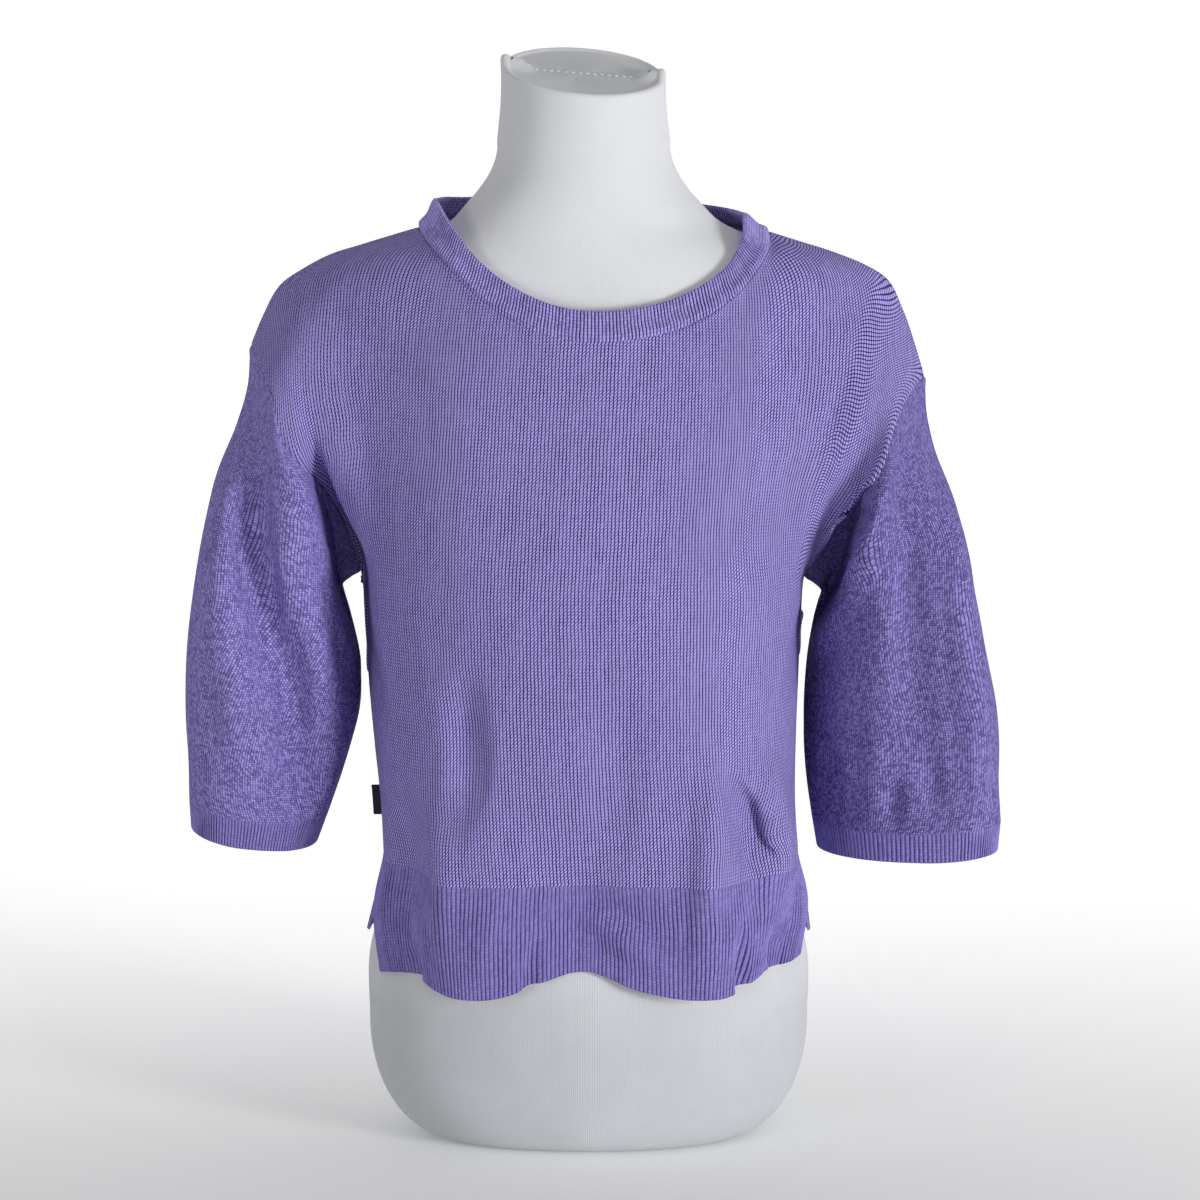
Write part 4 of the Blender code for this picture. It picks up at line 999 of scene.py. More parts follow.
def back_off(grid, edges, by):
    """Moves the named edges of a grid back from their seams, towards their neighbours."""
    grid = grid.copy()
    for edge in edges:
        near, far = {
            "left": (np.s_[:, 0], np.s_[:, 1]),
            "right": (np.s_[:, -1], np.s_[:, -2]),
            "first": (np.s_[0], np.s_[1]),
            "last": (np.s_[-1], np.s_[-2]),
        }[edge]
        step = grid[far] - grid[near]
        grid[near] += unit(step) * np.minimum(by, 0.4 * np.linalg.norm(step, axis=-1, keepdims=True))
    return grid


front_hem, front = body_grids(-1)
back_hem, back = body_grids(1)
sewn = np.abs(panel_columns()) >= NECK_SHARE - 1e-9
back[: LOWER_CELLS + 1, [0, -1]] = front[: LOWER_CELLS + 1, [0, -1]]
back[-1, sewn] = front[-1, sewn]
back_hem[-1] = back[0]
edges = {}
for name, panel, turn in (("front_panel", front, 1), ("back_panel", back, -1)):
    edges[name] = fine_panel(panel)
    fine, up = folded_panel(edges[name], turn, BODY_CREASES)
    edges["under " + name] = fine[0]
    wales = panel_wales(fine)
    outer = back_off(fine, ("left", "right", "last"), SEAM_GAP / 2)
    inner = outer - WALL * normals(fine, False, turn)
    shell(name, outer, inner, np.stack([wales, up / COURSE], -1), turn=turn)

# %% [markdown]
# ## Ribs
#
# Ribbing is a surface whose lines are spaced closely enough for each rib to have six. Between two crests the
# cloth sinks by $s\,|\cos \pi x|^3$, where $x$ counts ribs, and its inside has its own ribs half a rib along.

# %% The ribbed hems
LINES_PER_RIB = 6


def groove(phase):
    """1 in the groove between two ribs and 0 on a crest: a power of the cosine of the rib count."""
    return np.abs(np.cos(np.pi * phase)) ** 3


def ribbed(fine, normal, phase, thickness, depth):
    """The outer and inner faces of ribbing: both sink in their own grooves."""
    outer = fine - (depth * groove(phase))[..., None] * normal
    inner = fine - (thickness - depth * groove(phase + 0.5))[..., None] * normal
    return outer, inner


RIBS_PER_CELL = 5
LINES_PER_CELL = RIBS_PER_CELL * LINES_PER_RIB
ALONG_HEM = np.arange(PANEL_CELLS * LINES_PER_CELL + 1) / LINES_PER_CELL
DOWN_HEM = np.unique(np.round(np.concatenate([np.linspace(0, 2, 13)[:-1], 2 - NEAR_SEAM[::-1]]), 4))
HEM_JOIN = 0.018  # the hem takes up the panel's creases over this height
HEM_GROOVE, GROOVE_FADE = 0.0006, 0.012  # the depth of a rib's groove, and how it fades at the top
for name, grid, turn, panel in (
    ("hem_rib_front", front_hem, 1, "under front_panel"),
    ("hem_rib_back", back_hem, -1, "under back_panel"),
):
    fine = surface(grid, DOWN_HEM, ALONG_HEM)
    normal = normals(fine, False, turn)
    up, to_left = run(fine, 0), run(fine, 1)
    to_top, to_side = up[-1:] - up, np.minimum(to_left, to_left[:, -1:] - to_left)
    height = crease_height(fine, normal, BODY_CREASES) * ease(to_side / CREASE_FADE)
    fine = off_the_form(fine + height[..., None] * normal, RIB_WALL + HEM_CLEARANCE)
    joined = np.stack([np.interp(ALONG_HEM, ACROSS, edges[panel][:, k]) for k in range(3)], axis=-1)
    fine = fine + ease(1 - to_top / HEM_JOIN)[..., None] * (joined - fine[-1])
    normal = normals(fine, False, turn)
    phase = np.broadcast_to(ALONG_HEM * RIBS_PER_CELL, up.shape)
    outer, inner = ribbed(fine, normal, phase, RIB_WALL, HEM_GROOVE * ease(to_top / GROOVE_FADE))
    grids = outer, inner, np.stack([phase, up / COURSE], -1)
    for edge in ("left", "right", "first"):
        grids = rounded(*grids, edge)
    shell(name, *grids, turn=turn)

# %% [markdown]
# ## The neckband
#
# The band is a strip folded in half: its outer face leans up from the neck's seam, it turns over in a half
# circle, and its inner face goes back down. The two layers lie a hair apart inside.

# %% The band's outer face
at_neck = (ACROSS >= NECK_AT[0]) & (ACROSS <= NECK_AT[1])
neck_seam = np.concatenate([edges["front_panel"][-1, at_neck], edges["back_panel"][-1, at_neck][-2:0:-1]])
BAND_STEPS = 9  # fine lines to each place of the neck's seam
BAND_ROWS = (0.0, 0.04, 0.09, 0.16, 0.28, 0.42, 0.56, 0.70, 0.82, 0.90)  # shares of the way up its lean
BAND_GROOVE = 0.0006
LAYERS_PART = 0.00015  # half the space between the band's two layers


def neckband(seam):
    """Rows of the band's outer face, at shares of the way from the seam up the lean that its table gives.

    It leans in square to the seam and level; its directions are evened out along the seam."""
    share = np.arange(len(seam)) / len(seam)
    inward, up = read(BAND_LEAN, BAND_COLUMNS, share, "inward", "up")
    towards = seam.mean(axis=0) - seam
    towards[:, 2] = 0
    along = np.roll(seam, -1, axis=0) - np.roll(seam, 1, axis=0)
    along[:, 2] = 0
    along = unit(along)
    towards = unit(towards - (towards * along).sum(-1, keepdims=True) * along)
    for _ in range(12):
        towards = unit(towards + np.roll(towards, 1, 0) + np.roll(towards, -1, 0))
    lean = towards * inward[:, None]
    lean[:, 2] = up
    rows = [seam + share * lean for share in BAND_ROWS]
    return off_the_form(np.array(rows), BAND_WALL + BAND_CLEARANCE)


print("points of the neck's seam:", len(neck_seam))

# %% The strip, folded double
around = np.arange(len(neck_seam) * BAND_STEPS) / BAND_STEPS
fine = curve(neckband(neck_seam).swapaxes(0, 1), around, ring=True).swapaxes(0, 1)
normal = normals(fine, True, 1)
length = run(wrapped(fine[:1]), 1)[0]
rib_count = int(round(length[-1] / RIB))
phase = rib_count * length / length[-1]
up = run(fine, 0)
share = up / up[-1]
bulge = 0.0011 * bump((share - 0.24) / 0.24) - 0.0003 * bump((share - 0.55) / 0.2)
bulge = bulge + 0.0006 * bump((share - 0.9) / 0.25) + seam_height(up)
fine = fine + bulge[..., None] * normal
radius = BAND_WALL / 2
rise = unit(fine[-1] - fine[-3])
fold = np.radians([25, 50, 75, 90, 105, 130, 155])[:, None, None]
over = normal[-1] * np.cos(fold) + rise * np.sin(fold)
down = up[-1] + np.pi * radius + up[-1] - up
layers = (  # points, the way out of the cloth there or nothing inside it, and the length up the strip
    (fine, normal, up),
    (fine[-1] - radius * normal[-1] + radius * over, over, up[-1] + radius * fold[..., 0]),
    ((fine - BAND_WALL * normal)[::-1], -normal[::-1], down[::-1]),
    ((fine - (radius + LAYERS_PART) * normal)[::3], 0 * normal[::3], down[::3]),
    ((fine - (radius - LAYERS_PART) * normal)[::-3], 0 * normal[::-3], up[::-3]),
)
points, outs, ups = (np.concatenate(parts) for parts in zip(*layers))
points = points - (BAND_GROOVE * groove(phase[:-1]))[None, :, None] * outs
ups = wrapped(ups)
spot = np.stack([np.broadcast_to(phase, ups.shape), ups / COURSE], -1)
number, where = wrapped(numbered(points)), numbered(spot)
cells = quads(np.concatenate([number, number[:1]]))
corners = quads(np.concatenate([where, where[-1:]]))
piece("neckband", points.reshape(-1, 3), cells, spot.reshape(-1, 2)[corners.reshape(-1)])
print("ribs round the neck:", rib_count)

# %% [markdown]
# ## The sleeves
#
# A sleeve's first row is pinned to the armhole's seam, so that it meets both panels. Its wales are counted
# from its outer side, and meet under the arm, where the sleeve is sewn.

# %% Sleeves and cuffs
by_the_back = 2 * UPPER_CELLS + LOWER_CELLS - DOWN[DOWN > LOWER_CELLS]
AROUND = np.concatenate([DOWN[DOWN >= LOWER_CELLS] - LOWER_CELLS, by_the_back[::-1][1:]])
DOWN_SLEEVE = places(SLEEVE_CELLS, 11)
CUFF_RIBS_PER_CELL = 6
CUFF_LINES = CUFF_RIBS_PER_CELL * LINES_PER_RIB
ALONG_CUFF = np.arange(2 * UPPER_CELLS * CUFF_LINES) / CUFF_LINES
UP_CUFF = np.array([0, 0.12, 0.25, 0.4, 0.55, 0.7, 0.82, 0.90, 0.95, 1.0])
CUFF_GROOVE, CUFF_FADE = 0.0007, 0.004  # the depth of a cuff's grooves, and how they fade at the top
RISE_FADE = 0.010  # the sleeves' creases die away over this height above the cuffs
SLEEVE_TURN = {"left": 0.30, "right": 0.44}  # the slopes at which the sleeves face the body


def turned(points, side, share=1.0):
    """Turns a sleeve to face the body: its outer side comes forwards and its inner side goes back.

    A point moves in y by a slope times how far it lies out from the middle of the sleeve."""
    outer, inner = read(SLEEVES[side], SLEEVE_COLUMNS, points[..., 2], "outer", "inner")
    points = points.copy()
    points[..., 1] -= SLEEVE_TURN[side] * share * (np.abs(points[..., 0]) - np.abs(outer + inner) / 2)
    return points


SEAM_DRIFT = {"left": 2.7, "right": 1.4}  # how far the seam wanders to the front, in coarse cells
UNDER_SEAM = 1.8  # how much deeper the seam under the sleeve is than the others
upper = DOWN >= LOWER_CELLS
for side, end, turn in (("left", 0, 1), ("right", -1, -1)):
    cuff, sleeve = sleeve_grids(side)
    sleeve[0] = np.concatenate([front[LOWER_CELLS:, end], back[LOWER_CELLS:, end][-2:0:-1]])
    rows = curve(sleeve, DOWN_SLEEVE)
    drift = SEAM_DRIFT[side] * ease((DOWN_SLEEVE / SLEEVE_CELLS - 0.45) / 0.55)
    fine = np.array([curve(row, AROUND + by, ring=True) for row, by in zip(rows, drift)])
    seam = np.concatenate([edges["front_panel"][upper, end], edges["back_panel"][upper, end][-2:0:-1]])
    share = ease((DOWN_SLEEVE - 0.6) / 4)[:, None]
    normal = normals(turned(fine, side, share), True, turn)
    fine = turned(hollowed(fine), side, share)
    fine = fine + ease(1 - DOWN_SLEEVE)[:, None, None] * (seam - fine[0])
    down = run(fine, 0)
    rise = down[-1:] - down
    round_it = run(wrapped(fine), 1)
    to_seam = np.minimum(round_it, round_it[:, -1:] - round_it)[:, :-1]
    height = crease_height(fine, normal, SLEEVE_CREASES[side]) * ease(down / CREASE_FADE)
    height = height * ease(rise / RISE_FADE) + seam_height(down) + UNDER_SEAM * seam_height(to_seam)
    fine = fine + height[..., None] * normal
    outer = back_off(fine, ("first",), SEAM_GAP / 2)
    inner = outer - WALL * unit(normal + normals(fine, True, turn))
    wales = (round_it - round_it[:, -1:] / 2) / (WALE * SLEEVE_STITCH)
    place = np.stack([wales, wrapped(rise) / (COURSE * SLEEVE_STITCH)], -1)
    shell("sleeve_" + side, outer, inner, place, ring=True, turn=turn)

    fine = surface(turned(cuff, side), UP_CUFF, ALONG_CUFF, ring=True)
    normal = normals(fine, True, -turn)
    up = run(fine, 0)
    phase = np.broadcast_to(ALONG_CUFF * CUFF_RIBS_PER_CELL, up.shape)
    depth = CUFF_GROOVE * ease((up[-1:] - up) / CUFF_FADE)
    outer, inner = ribbed(fine, normal, phase, RIB_WALL, depth)
    ribs, up = np.append(ALONG_CUFF, 2 * UPPER_CELLS) * CUFF_RIBS_PER_CELL, wrapped(up)
    place = np.stack([np.broadcast_to(ribs, up.shape), up / COURSE], -1)
    grids = rounded(outer, inner, place, "first")
    shell("cuff_rib_" + side, *grids, ring=True, turn=-turn)

# %% [markdown]
# ## The form
#
# The form is a stack of level sections. Its neck ends in a slanting plane: a soft rim, then a cap that lies a
# little lower, with a stitched seam across it. At the seam's two ends the cover is gathered into small ears.

# %% The form's sections and the cap's gathers
FORM_LINES = 192
JERSEY = 0.0011  # width of the cover's fine stitches
RIM_ROUND = 0.0024  # radius of the neck's rim
CAP_SINK = 0.0016  # how much lower the cap lies than the rim
SHOULDER_Z, NECK_Z = 0.560, 0.690  # where finer rings start, and where they begin to slant
CAP_HOLLOW = 0.0008  # how much deeper still it is in its middle
NECK_RINGS = 19  # the rings below the cap that the gathers lift too
GATHER_OUT = 0.22  # how far they push the neck out, by how far they lift it
COVER_WALES = 4.6  # stitches of the cover to each of the form's lines


def neck_plane(x, y):
    """Height of the slanting plane that cuts the neck: it rises to the back and falls to the right."""
    return NECK_TOP_Z + np.tan(NECK_TILT) * y - np.tan(NECK_ROLL) * x


def form_ring(z, angle, inset=0.0):
    """The form's section at height z, drawn in by an inset. z may be one height, or one for each point."""
    half, front, back, mid_x, mid_y, square = form_sizes(z)
    x, y = superellipse(angle, half - inset, np.where(np.sin(angle) < 0, front, back) - inset, square)
    return np.stack([x + mid_x, y + mid_y, z + 0 * x], axis=-1)


EAR_HEIGHT = (0.0074, 0.0056)  # left and right


def ears(points):
    """How far the gathered ends of the cap's seam stand up: soft ridges that end in round nubs.

    Along the seam the height falls as exp(-(t^4 + t^2) / 2), and across it as a bell."""
    x, y = points[..., 0] + 0.003, points[..., 1] - 0.008
    along = np.abs(x) - 0.0500
    out = np.where(along > 0, along / 0.0085, -along / 0.0125)
    wide = 0.0072 + 0.12 * np.clip(-along, 0, 0.02)
    return np.where(x < 0, *EAR_HEIGHT) * np.exp(-(out**4 + out**2) / 2) * np.exp(-((y / wide) ** 2))


print("the neck's top at its left and right, m:", np.round(neck_plane(np.array([-0.05, 0.05]), 0), 4))

# %% Rings from the underside to the cap
angle = np.linspace(0, 2 * np.pi, FORM_LINES, endpoint=False)
rings = [form_ring(0.0, angle) * (s, s, 1) for s in (0.04, 0.3, 0.6, 0.85, 0.97)]
rings += [form_ring(z, angle) for z in BASE_ROUND_UP * (1 - np.cos(np.linspace(0.03, np.pi / 2, 22)[:-1]))]
rings += [form_ring(z, angle) for z in np.linspace(BASE_ROUND_UP, SHOULDER_Z, 90, endpoint=False)]
rings += [form_ring(z, angle) for z in np.linspace(SHOULDER_Z, NECK_Z, 44, endpoint=False)]
ring = form_ring(NECK_Z, angle)
top = neck_plane(ring[:, 0], ring[:, 1]) - RIM_ROUND
rings += [form_ring(NECK_Z + share * (top - NECK_Z), angle) for share in np.linspace(0, 1, 14)]
top = rings[-1][:, 2]


def inset_ring(inset, below):
    """A ring drawn in from the neck's side, so far below the slanting plane."""
    ring = form_ring(top, angle, inset)
    ring[:, 2] = neck_plane(ring[:, 0], ring[:, 1]) - below
    return ring


for over in np.radians([22, 45, 68, 90]):
    rings.append(inset_ring(RIM_ROUND * (1 - np.cos(over)), RIM_ROUND * (1 - np.sin(over))))
CAP_START = len(rings)
for inset, sink in ((0.0034, 0.10), (0.0042, 0.55), (0.0048, 0.9), (0.0056, 1.0), (0.007, 1.0)):
    rings.append(inset_ring(inset, CAP_SINK * sink))
rim = rings[-1]
for share in np.linspace(0.95, 0.03, 26):
    ring = rim.mean(axis=0) + share * (rim - rim.mean(axis=0))
    ring[:, 2] = neck_plane(ring[:, 0], ring[:, 1]) - CAP_SINK - CAP_HOLLOW * (1 - share**2)
    rings.append(ring)
rings = np.array(rings)
first = CAP_START - NECK_RINGS
lift = ears(rings[first:])
rings[first:, :, 2] += lift
rings[first:CAP_START, :, 0] += GATHER_OUT * lift[:NECK_RINGS] * np.sign(rings[first:CAP_START, :, 0])
print("rings of the form:", len(rings))

# %% The form's cover
number, up = wrapped(numbered(rings)), wrapped(run(rings, 0))
spot = np.stack([np.broadcast_to(np.arange(FORM_LINES + 1) * COVER_WALES, up.shape), up / JERSEY], -1)
where = numbered(spot)
cells, corners = quads(number), quads(where)
left = np.arange(FORM_LINES // 2 - 1)
right = FORM_LINES - 1 - left
for row, way in ((0, -1), (-1, 1)):  # the small holes left in the underside and the cap are zipped up
    across = np.stack([left, left + 1, right - 1, right], -1)
    cells = np.concatenate([cells, number[row][across][:, ::way]])
    corners = np.concatenate([corners, where[row][across][:, ::way]])
form = piece("form_torso_cover", rings.reshape(-1, 3), cells, spot.reshape(-1, 2)[corners.reshape(-1)])
on_the_cap = np.arange(len(cells)) >= (CAP_START + 2) * FORM_LINES
on_the_cap[-2 * len(left) : -len(left)] = False
form.data.polygons.foreach_set("material_index", on_the_cap.astype(np.int32))

# %% [markdown]
# The seam's stitches are short threads that lie on the cap: each is a capsule, whose radius at a share $s$ of
# its length is $r\,\sqrt{1 - (2s - 1)^4}$.

# %% Stitches and gaps
STITCH_STEP = 0.0049  # from one stitch to the next
STITCH_LENGTH = 0.0027
STITCH_THICK, GAP_THICK = 0.00062, 0.0006


def stitch(start, end, thick, lines=6):
    """A thread between two points: its rings of points and its faces, counted from 0."""
    s = np.array([0.02, 0.15, 0.5, 0.85, 0.98])
    radius = thick * np.sqrt(1 - np.abs(2 * s - 1) ** 4)
    along = unit(end - start)
    side = unit(np.cross(along, (0, 0, 1)))
    over = np.cross(side, along)
    turn = np.linspace(0, 2 * np.pi, lines, endpoint=False)
    round_it = np.cos(turn)[:, None] * side + 0.8 * np.sin(turn)[:, None] * over
    points = (start + s[:, None, None] * (end - start)) + radius[:, None, None] * round_it
    return points.reshape(-1, 3), quads(wrapped(numbered(points)))[:, (0, 3, 2, 1)]


def threads(name, ends, thick):
    """One mesh of several threads, each between two points."""
    parts = [stitch(start, end, thick) for start, end in ends]
    points = np.concatenate([points for points, _ in parts])
    cells = np.concatenate([cells + k * len(parts[0][0]) for k, (_, cells) in enumerate(parts)])
    piece(name, points, cells, np.zeros((cells.size, 2)))


def on_cap(x, y):
    """A point of the cap, a hair below its surface."""
    spot = np.array([x, y, neck_plane(x, y) - CAP_SINK - 0.0003])
    return spot + (0, 0, float(ears(spot)))


ends = [(on_cap(x, 0.0082), on_cap(x + STITCH_LENGTH, 0.0078)) for x in np.arange(-0.046, 0.041, STITCH_STEP)]
threads("cap_stitches", ends, STITCH_THICK)

# Where the gathers leave small gaps: one on each ear, and one low on the right. Each is a nearly black thread
# laid on the cap, painted shade that stands for the dark inside of a gap.
GAPS = (
    (-0.0520, 0.0045, -0.0512, 0.0075),
    (0.0405, 0.0060, 0.0425, 0.0105),
    (0.0500, 0.0010, 0.0508, 0.0030),
)
ends = [(on_cap(a, b) + (0, 0, 0.0004), on_cap(c, d) + (0, 0, 0.0002)) for a, b, c, d in GAPS]
threads("cap_gaps", ends, GAP_THICK)

# %% [markdown]
# ## The label
#
# A strip of tape, folded in half: its two layers part a little at the seam and meet in a rounded fold. A bent
# plane with a Solidify modifier would pinch in so tight a fold, so both of its faces are given as grids.

# %% The tape
heights = [LABEL_LOW_Z, LABEL_LOW_Z + LABEL_HEIGHT]
low, high = np.interp(heights, front[: LOWER_CELLS + 1, 0, 2], np.arange(LOWER_CELLS + 1))
seam = curve(front[:, 0], np.linspace(low, high, 24))
out = unit(normals(front, False, 1)[: LOWER_CELLS + 1, 0])
out = unit(curve(out, np.linspace(low, high, 24)) * (1, 1, 0))
back_way = np.stack([out[:, 1], -out[:, 0], 0 * out[:, 0]], -1)
TAPE = 0.0003  # the tape's thickness
# Along the strip: how far out its outer face lies, how far it parts from the middle plane, and how far out
# its inner face lies.
share = np.array([0, 0.3, 0.6, 0.85, 0.96, 1.0, 0.96, 0.85, 0.6, 0.3, 0])
gap = LABEL_WALL * np.array([-0.46, -0.38, -0.36, -0.36, -0.28, 0, 0.28, 0.36, 0.36, 0.38, 0.46])
within = np.array([0, 0.3, 0.6, 0.84, 0.92, 0.94, 0.92, 0.84, 0.6, 0.3, 0])
sheets = []
for s, g in ((share, gap), (within, np.sign(gap) * np.maximum(np.abs(gap) - TAPE, 0.00004))):
    tape_out = (seam + SEAM_GAP * out)[:, None] + out[:, None] * LABEL_OUT * s[:, None]
    sheets.append(tape_out + back_way[:, None] * g[:, None])
u, v = np.meshgrid(np.arange(len(share)) * 1.5, np.arange(len(seam)) * 1.8)
shell("label_tape", *sheets, np.stack([u, v], -1), turn=-1)

# %% [markdown]
# ## Materials
#
# A signal is a number that varies over a surface. Nodes can be joined by hand in the shader editor. Here a
# sum written with signals makes the nodes that work it out, so that a finish reads as a formula.

# %% Signals
class Signal:
    """The output of a node, on which sums can be done."""

    def __init__(self, tree, socket):
        self.tree, self.socket = tree, socket

    def math(self, operation, *others):
        """A node that does a sum with this signal and others, or with numbers."""
        node = self.tree.nodes.new("ShaderNodeMath")
        node.operation = operation
        for slot, value in zip(node.inputs, (self, *others)):
            if isinstance(value, Signal):
                self.tree.links.new(value.socket, slot)
            else:
                slot.default_value = value
        return Signal(self.tree, node.outputs[0])

    def __add__(self, other):
        return self.math("ADD", other)

    def __sub__(self, other):
        return self.math("SUBTRACT", other)

    def __mul__(self, other):
        return self.math("MULTIPLY", other)

    def __rsub__(self, other):
        return self * -1.0 + other

    __radd__, __rmul__ = __add__, __mul__

    def step(self, low, high):
        """0 below low, 1 above high, and a smooth step between."""
        node = self.tree.nodes.new("ShaderNodeMapRange")
        node.interpolation_type = "SMOOTHSTEP"
        node.inputs["From Min"].default_value = low
        node.inputs["From Max"].default_value = high
        self.tree.links.new(self.socket, node.inputs["Value"])
        return Signal(self.tree, node.outputs["Result"])


# %% Materials
class Material:
    """A material whose shader's constants are set on the shader itself."""

    def __init__(self, name, **constants):
        self.data = bpy.data.materials.new(name)
        self.data.use_nodes = True
        self.tree = self.data.node_tree
        self.shader = self.tree.nodes["Principled BSDF"]
        for key, value in constants.items():
            self.shader.inputs[key.replace("_", " ").title().replace("Ior", "IOR")].default_value = value

    def node(self, kind, **settings):
        """A new node, with its sockets' values and its settings."""
        made = self.tree.nodes.new(kind)
        for key, value in settings.items():
            if key in made.inputs:
                made.inputs[key].default_value = value
            else:
                setattr(made, key, value)
        return made

    def signal(self, socket):
        """A socket of this material, for sums."""
        return Signal(self.tree, socket)

    def parts(self, socket):
        """The x, y and z of a place, each as a signal."""
        parts = self.node("ShaderNodeSeparateXYZ")
        self.tree.links.new(socket, parts.inputs[0])
        return [self.signal(out) for out in parts.outputs]

    def stitches(self):
        """The place in the knit: u counts wales and v counts courses."""
        return self.parts(self.node("ShaderNodeUVMap", uv_map="stitches").outputs[0])[:2]

    def noise(self, scale, detail, at=None):
        """Cloudy noise from 0 to 1 over the object's own space, or over a pair of signals."""
        noise = self.node("ShaderNodeTexNoise", Scale=scale, Detail=detail)
        self.tree.links.new(self.place(at), noise.inputs["Vector"])
        return self.signal(noise.outputs[0])

    def speck(self, *at):
        """A random number from 0 to 1, one and the same wherever the signals have the same values."""
        noise = self.node("ShaderNodeTexWhiteNoise", noise_dimensions="3D")
        self.tree.links.new(self.place(at), noise.inputs["Vector"])
        return self.signal(noise.outputs[0])

    def place(self, at=None):
        """A place made of signals, or each point's own place in the object."""
        if at is None:
            return self.node("ShaderNodeTexCoord").outputs["Object"]
        joined = self.node("ShaderNodeCombineXYZ")
        for signal, slot in zip(at, joined.inputs):
            self.tree.links.new(signal.socket, slot)
        return joined.outputs[0]

    def colour(self, signal, *stops):
        """The base colour: a signal read through (place, colour) stops."""
        ramp = self.node("ShaderNodeValToRGB")
        points = ramp.color_ramp.elements
        points[0].position, points[1].position = stops[0][0], stops[-1][0]
        for where, _ in stops[1:-1]:
            points.new(where)
        for point, (_, colour) in zip(points, stops):
            point.color = (*colour, 1)
        self.tree.links.new(signal.socket, ramp.inputs[0])
        self.tree.links.new(ramp.outputs[0], self.shader.inputs["Base Color"])

    def rough(self, signal):
        """How dull the surface is: 1 is fully dull."""
        self.tree.links.new(signal.socket, self.shader.inputs["Roughness"])

    def bump(self, signal, height):
        """Relief in the shading: a signal of 1 stands this many metres higher than 0."""
        bump = self.node("ShaderNodeBump", Distance=height)
        self.tree.links.new(signal.socket, bump.inputs["Height"])
        self.tree.links.new(bump.outputs[0], self.shader.inputs["Normal"])


# %% [markdown]
# ### Knit
#
# Each loop of a knit shows two legs that form a V, in columns (wales) and rows (courses). Loops could be
# modelled one by one, in millions of faces. From where the camera stands they are a few pixels wide, so they
# are worked out in the shader from the place in the knit, and the yarn's colour goes from its shaded gaps to
# its lit crowns.
#
# Across a wale, $a$ runs from 0 in its middle to 1 at its edge. One leg of each V catches the light, as a
# dash that leans: dashes are counted by $v - l x$, where $x$ goes from -1/2 to 1/2 across the wale and $l$
# is the lean. A dash fades out towards its rim, and the cloth is dark between two wales.

# %% Yarns
def knit(name, stops, relief, gap, uneven, contrast, courses, speckle, lean=0.62):
    """Stitches of knit: slanting dashes, dark where one wale meets the next, with uneven tension.

    gap is how dark the line between two wales is, uneven how much two stitches differ, contrast how much
    a stitch's middle stands out from its rim, courses how much two stitches of a wale are parted, speckle
    how mottled the yarn is, and lean how many stitches a dash climbs across its wale."""
    made = Material(name, roughness=0.95, sheen_weight=0.015, sheen_roughness=0.4, specular_ior_level=0.04)
    made.shader.inputs["Sheen Tint"].default_value = (0.75, 0.70, 1.0, 1)
    u, v = made.stitches()
    # Slow and fast waves carry the stitches a little out of line.
    slow, fast = made.noise(0.12, 2.0, (u, v)), made.noise(0.9, 2.0, (u, v))
    u = u + (slow - 0.5) * 0.5 + (fast - 0.5) * 0.16
    v = v + (slow - 0.5) * 0.8 + (fast - 0.5) * 0.25
    across = u.math("FRACT") - 0.5
    a = across.math("ABSOLUTE") * 2.0
    along = v - across * lean
    p = ((along.math("FRACT") - 0.5) * 2.0).math("ABSOLUTE")
    dash = (1.0 - a.step(0.55, 1.0)) * (1.0 - p.step(0.35, 1.0) * courses)
    number = u.math("FLOOR")
    stitch = made.speck(number, along.math("FLOOR"), number * 0.37)
    # Here and there a wale stands apart from its neighbour for a few courses.
    apart = made.noise(1.0, 1.0, (number * 3.7, v * 0.06)).step(0.40, 0.62)
    between = a.step(0.50, 0.92) * (0.15 + 1.1 * apart)
    cloud, grain = made.noise(7.0, 4.0), made.noise(1150.0, 2.0)
    tone = 0.40 + (grain - 0.5) * speckle + 0.80 * contrast * (dash - 0.34) - between * gap
    tone = tone + (stitch - 0.5) * uneven * (0.3 + dash) + (cloud - 0.5) * 0.14 + (fast - 0.5) * 0.10
    made.colour(tone, *stops)
    made.rough(0.96 - 0.10 * dash)
    made.bump(dash - 0.5 * between + (stitch - 0.5) * 0.3, relief)
    return made.data


# The yarn's shade, middle and light, each at its tone. The two sleeves hang in a softer light than the body
# and the right one in the form's shade, which the stops of their yarns stand for.
YARN = ((0.08, (0.018, 0.012, 0.080)), (0.45, (0.148, 0.120, 0.352)), (0.92, (0.460, 0.404, 0.860)))
SLEEVE_YARN = ((0.08, (0.043, 0.032, 0.137)), (0.45, (0.189, 0.155, 0.433)), (0.92, (0.464, 0.408, 0.890)))
SHADED_YARN = ((0.08, (0.033, 0.024, 0.108)), (0.45, (0.143, 0.117, 0.334)), (0.92, (0.378, 0.331, 0.748)))
RIB_YARN = ((0.05, (0.060, 0.046, 0.180)), (0.45, (0.187, 0.155, 0.420)), (0.95, (0.380, 0.332, 0.750)))
plain_knit = knit(
    "knit", YARN, 0.00022, gap=0.46, uneven=0.25, contrast=1.5, courses=0.88, speckle=0.45, lean=0.95
)
sleeve_knit, shaded_knit = (
    knit(name, yarn, 0.00016, gap=0.15, uneven=0.40, contrast=0.60, courses=0.8, speckle=0.5)
    for name, yarn in (("sleeve_knit", SLEEVE_YARN), ("shaded_knit", SHADED_YARN))
)
rib_knit = knit("rib_knit", RIB_YARN, 0.0002, gap=0.30, uneven=0.12, contrast=0.5, courses=0.35, speckle=0.3)
band_knit = knit("band_knit", YARN, 0.0002, gap=0.40, uneven=0.15, contrast=0.9, courses=0.35, speckle=0.3)
print("knits:", [made.name for made in (plain_knit, sleeve_knit, shaded_knit, rib_knit, band_knit)])
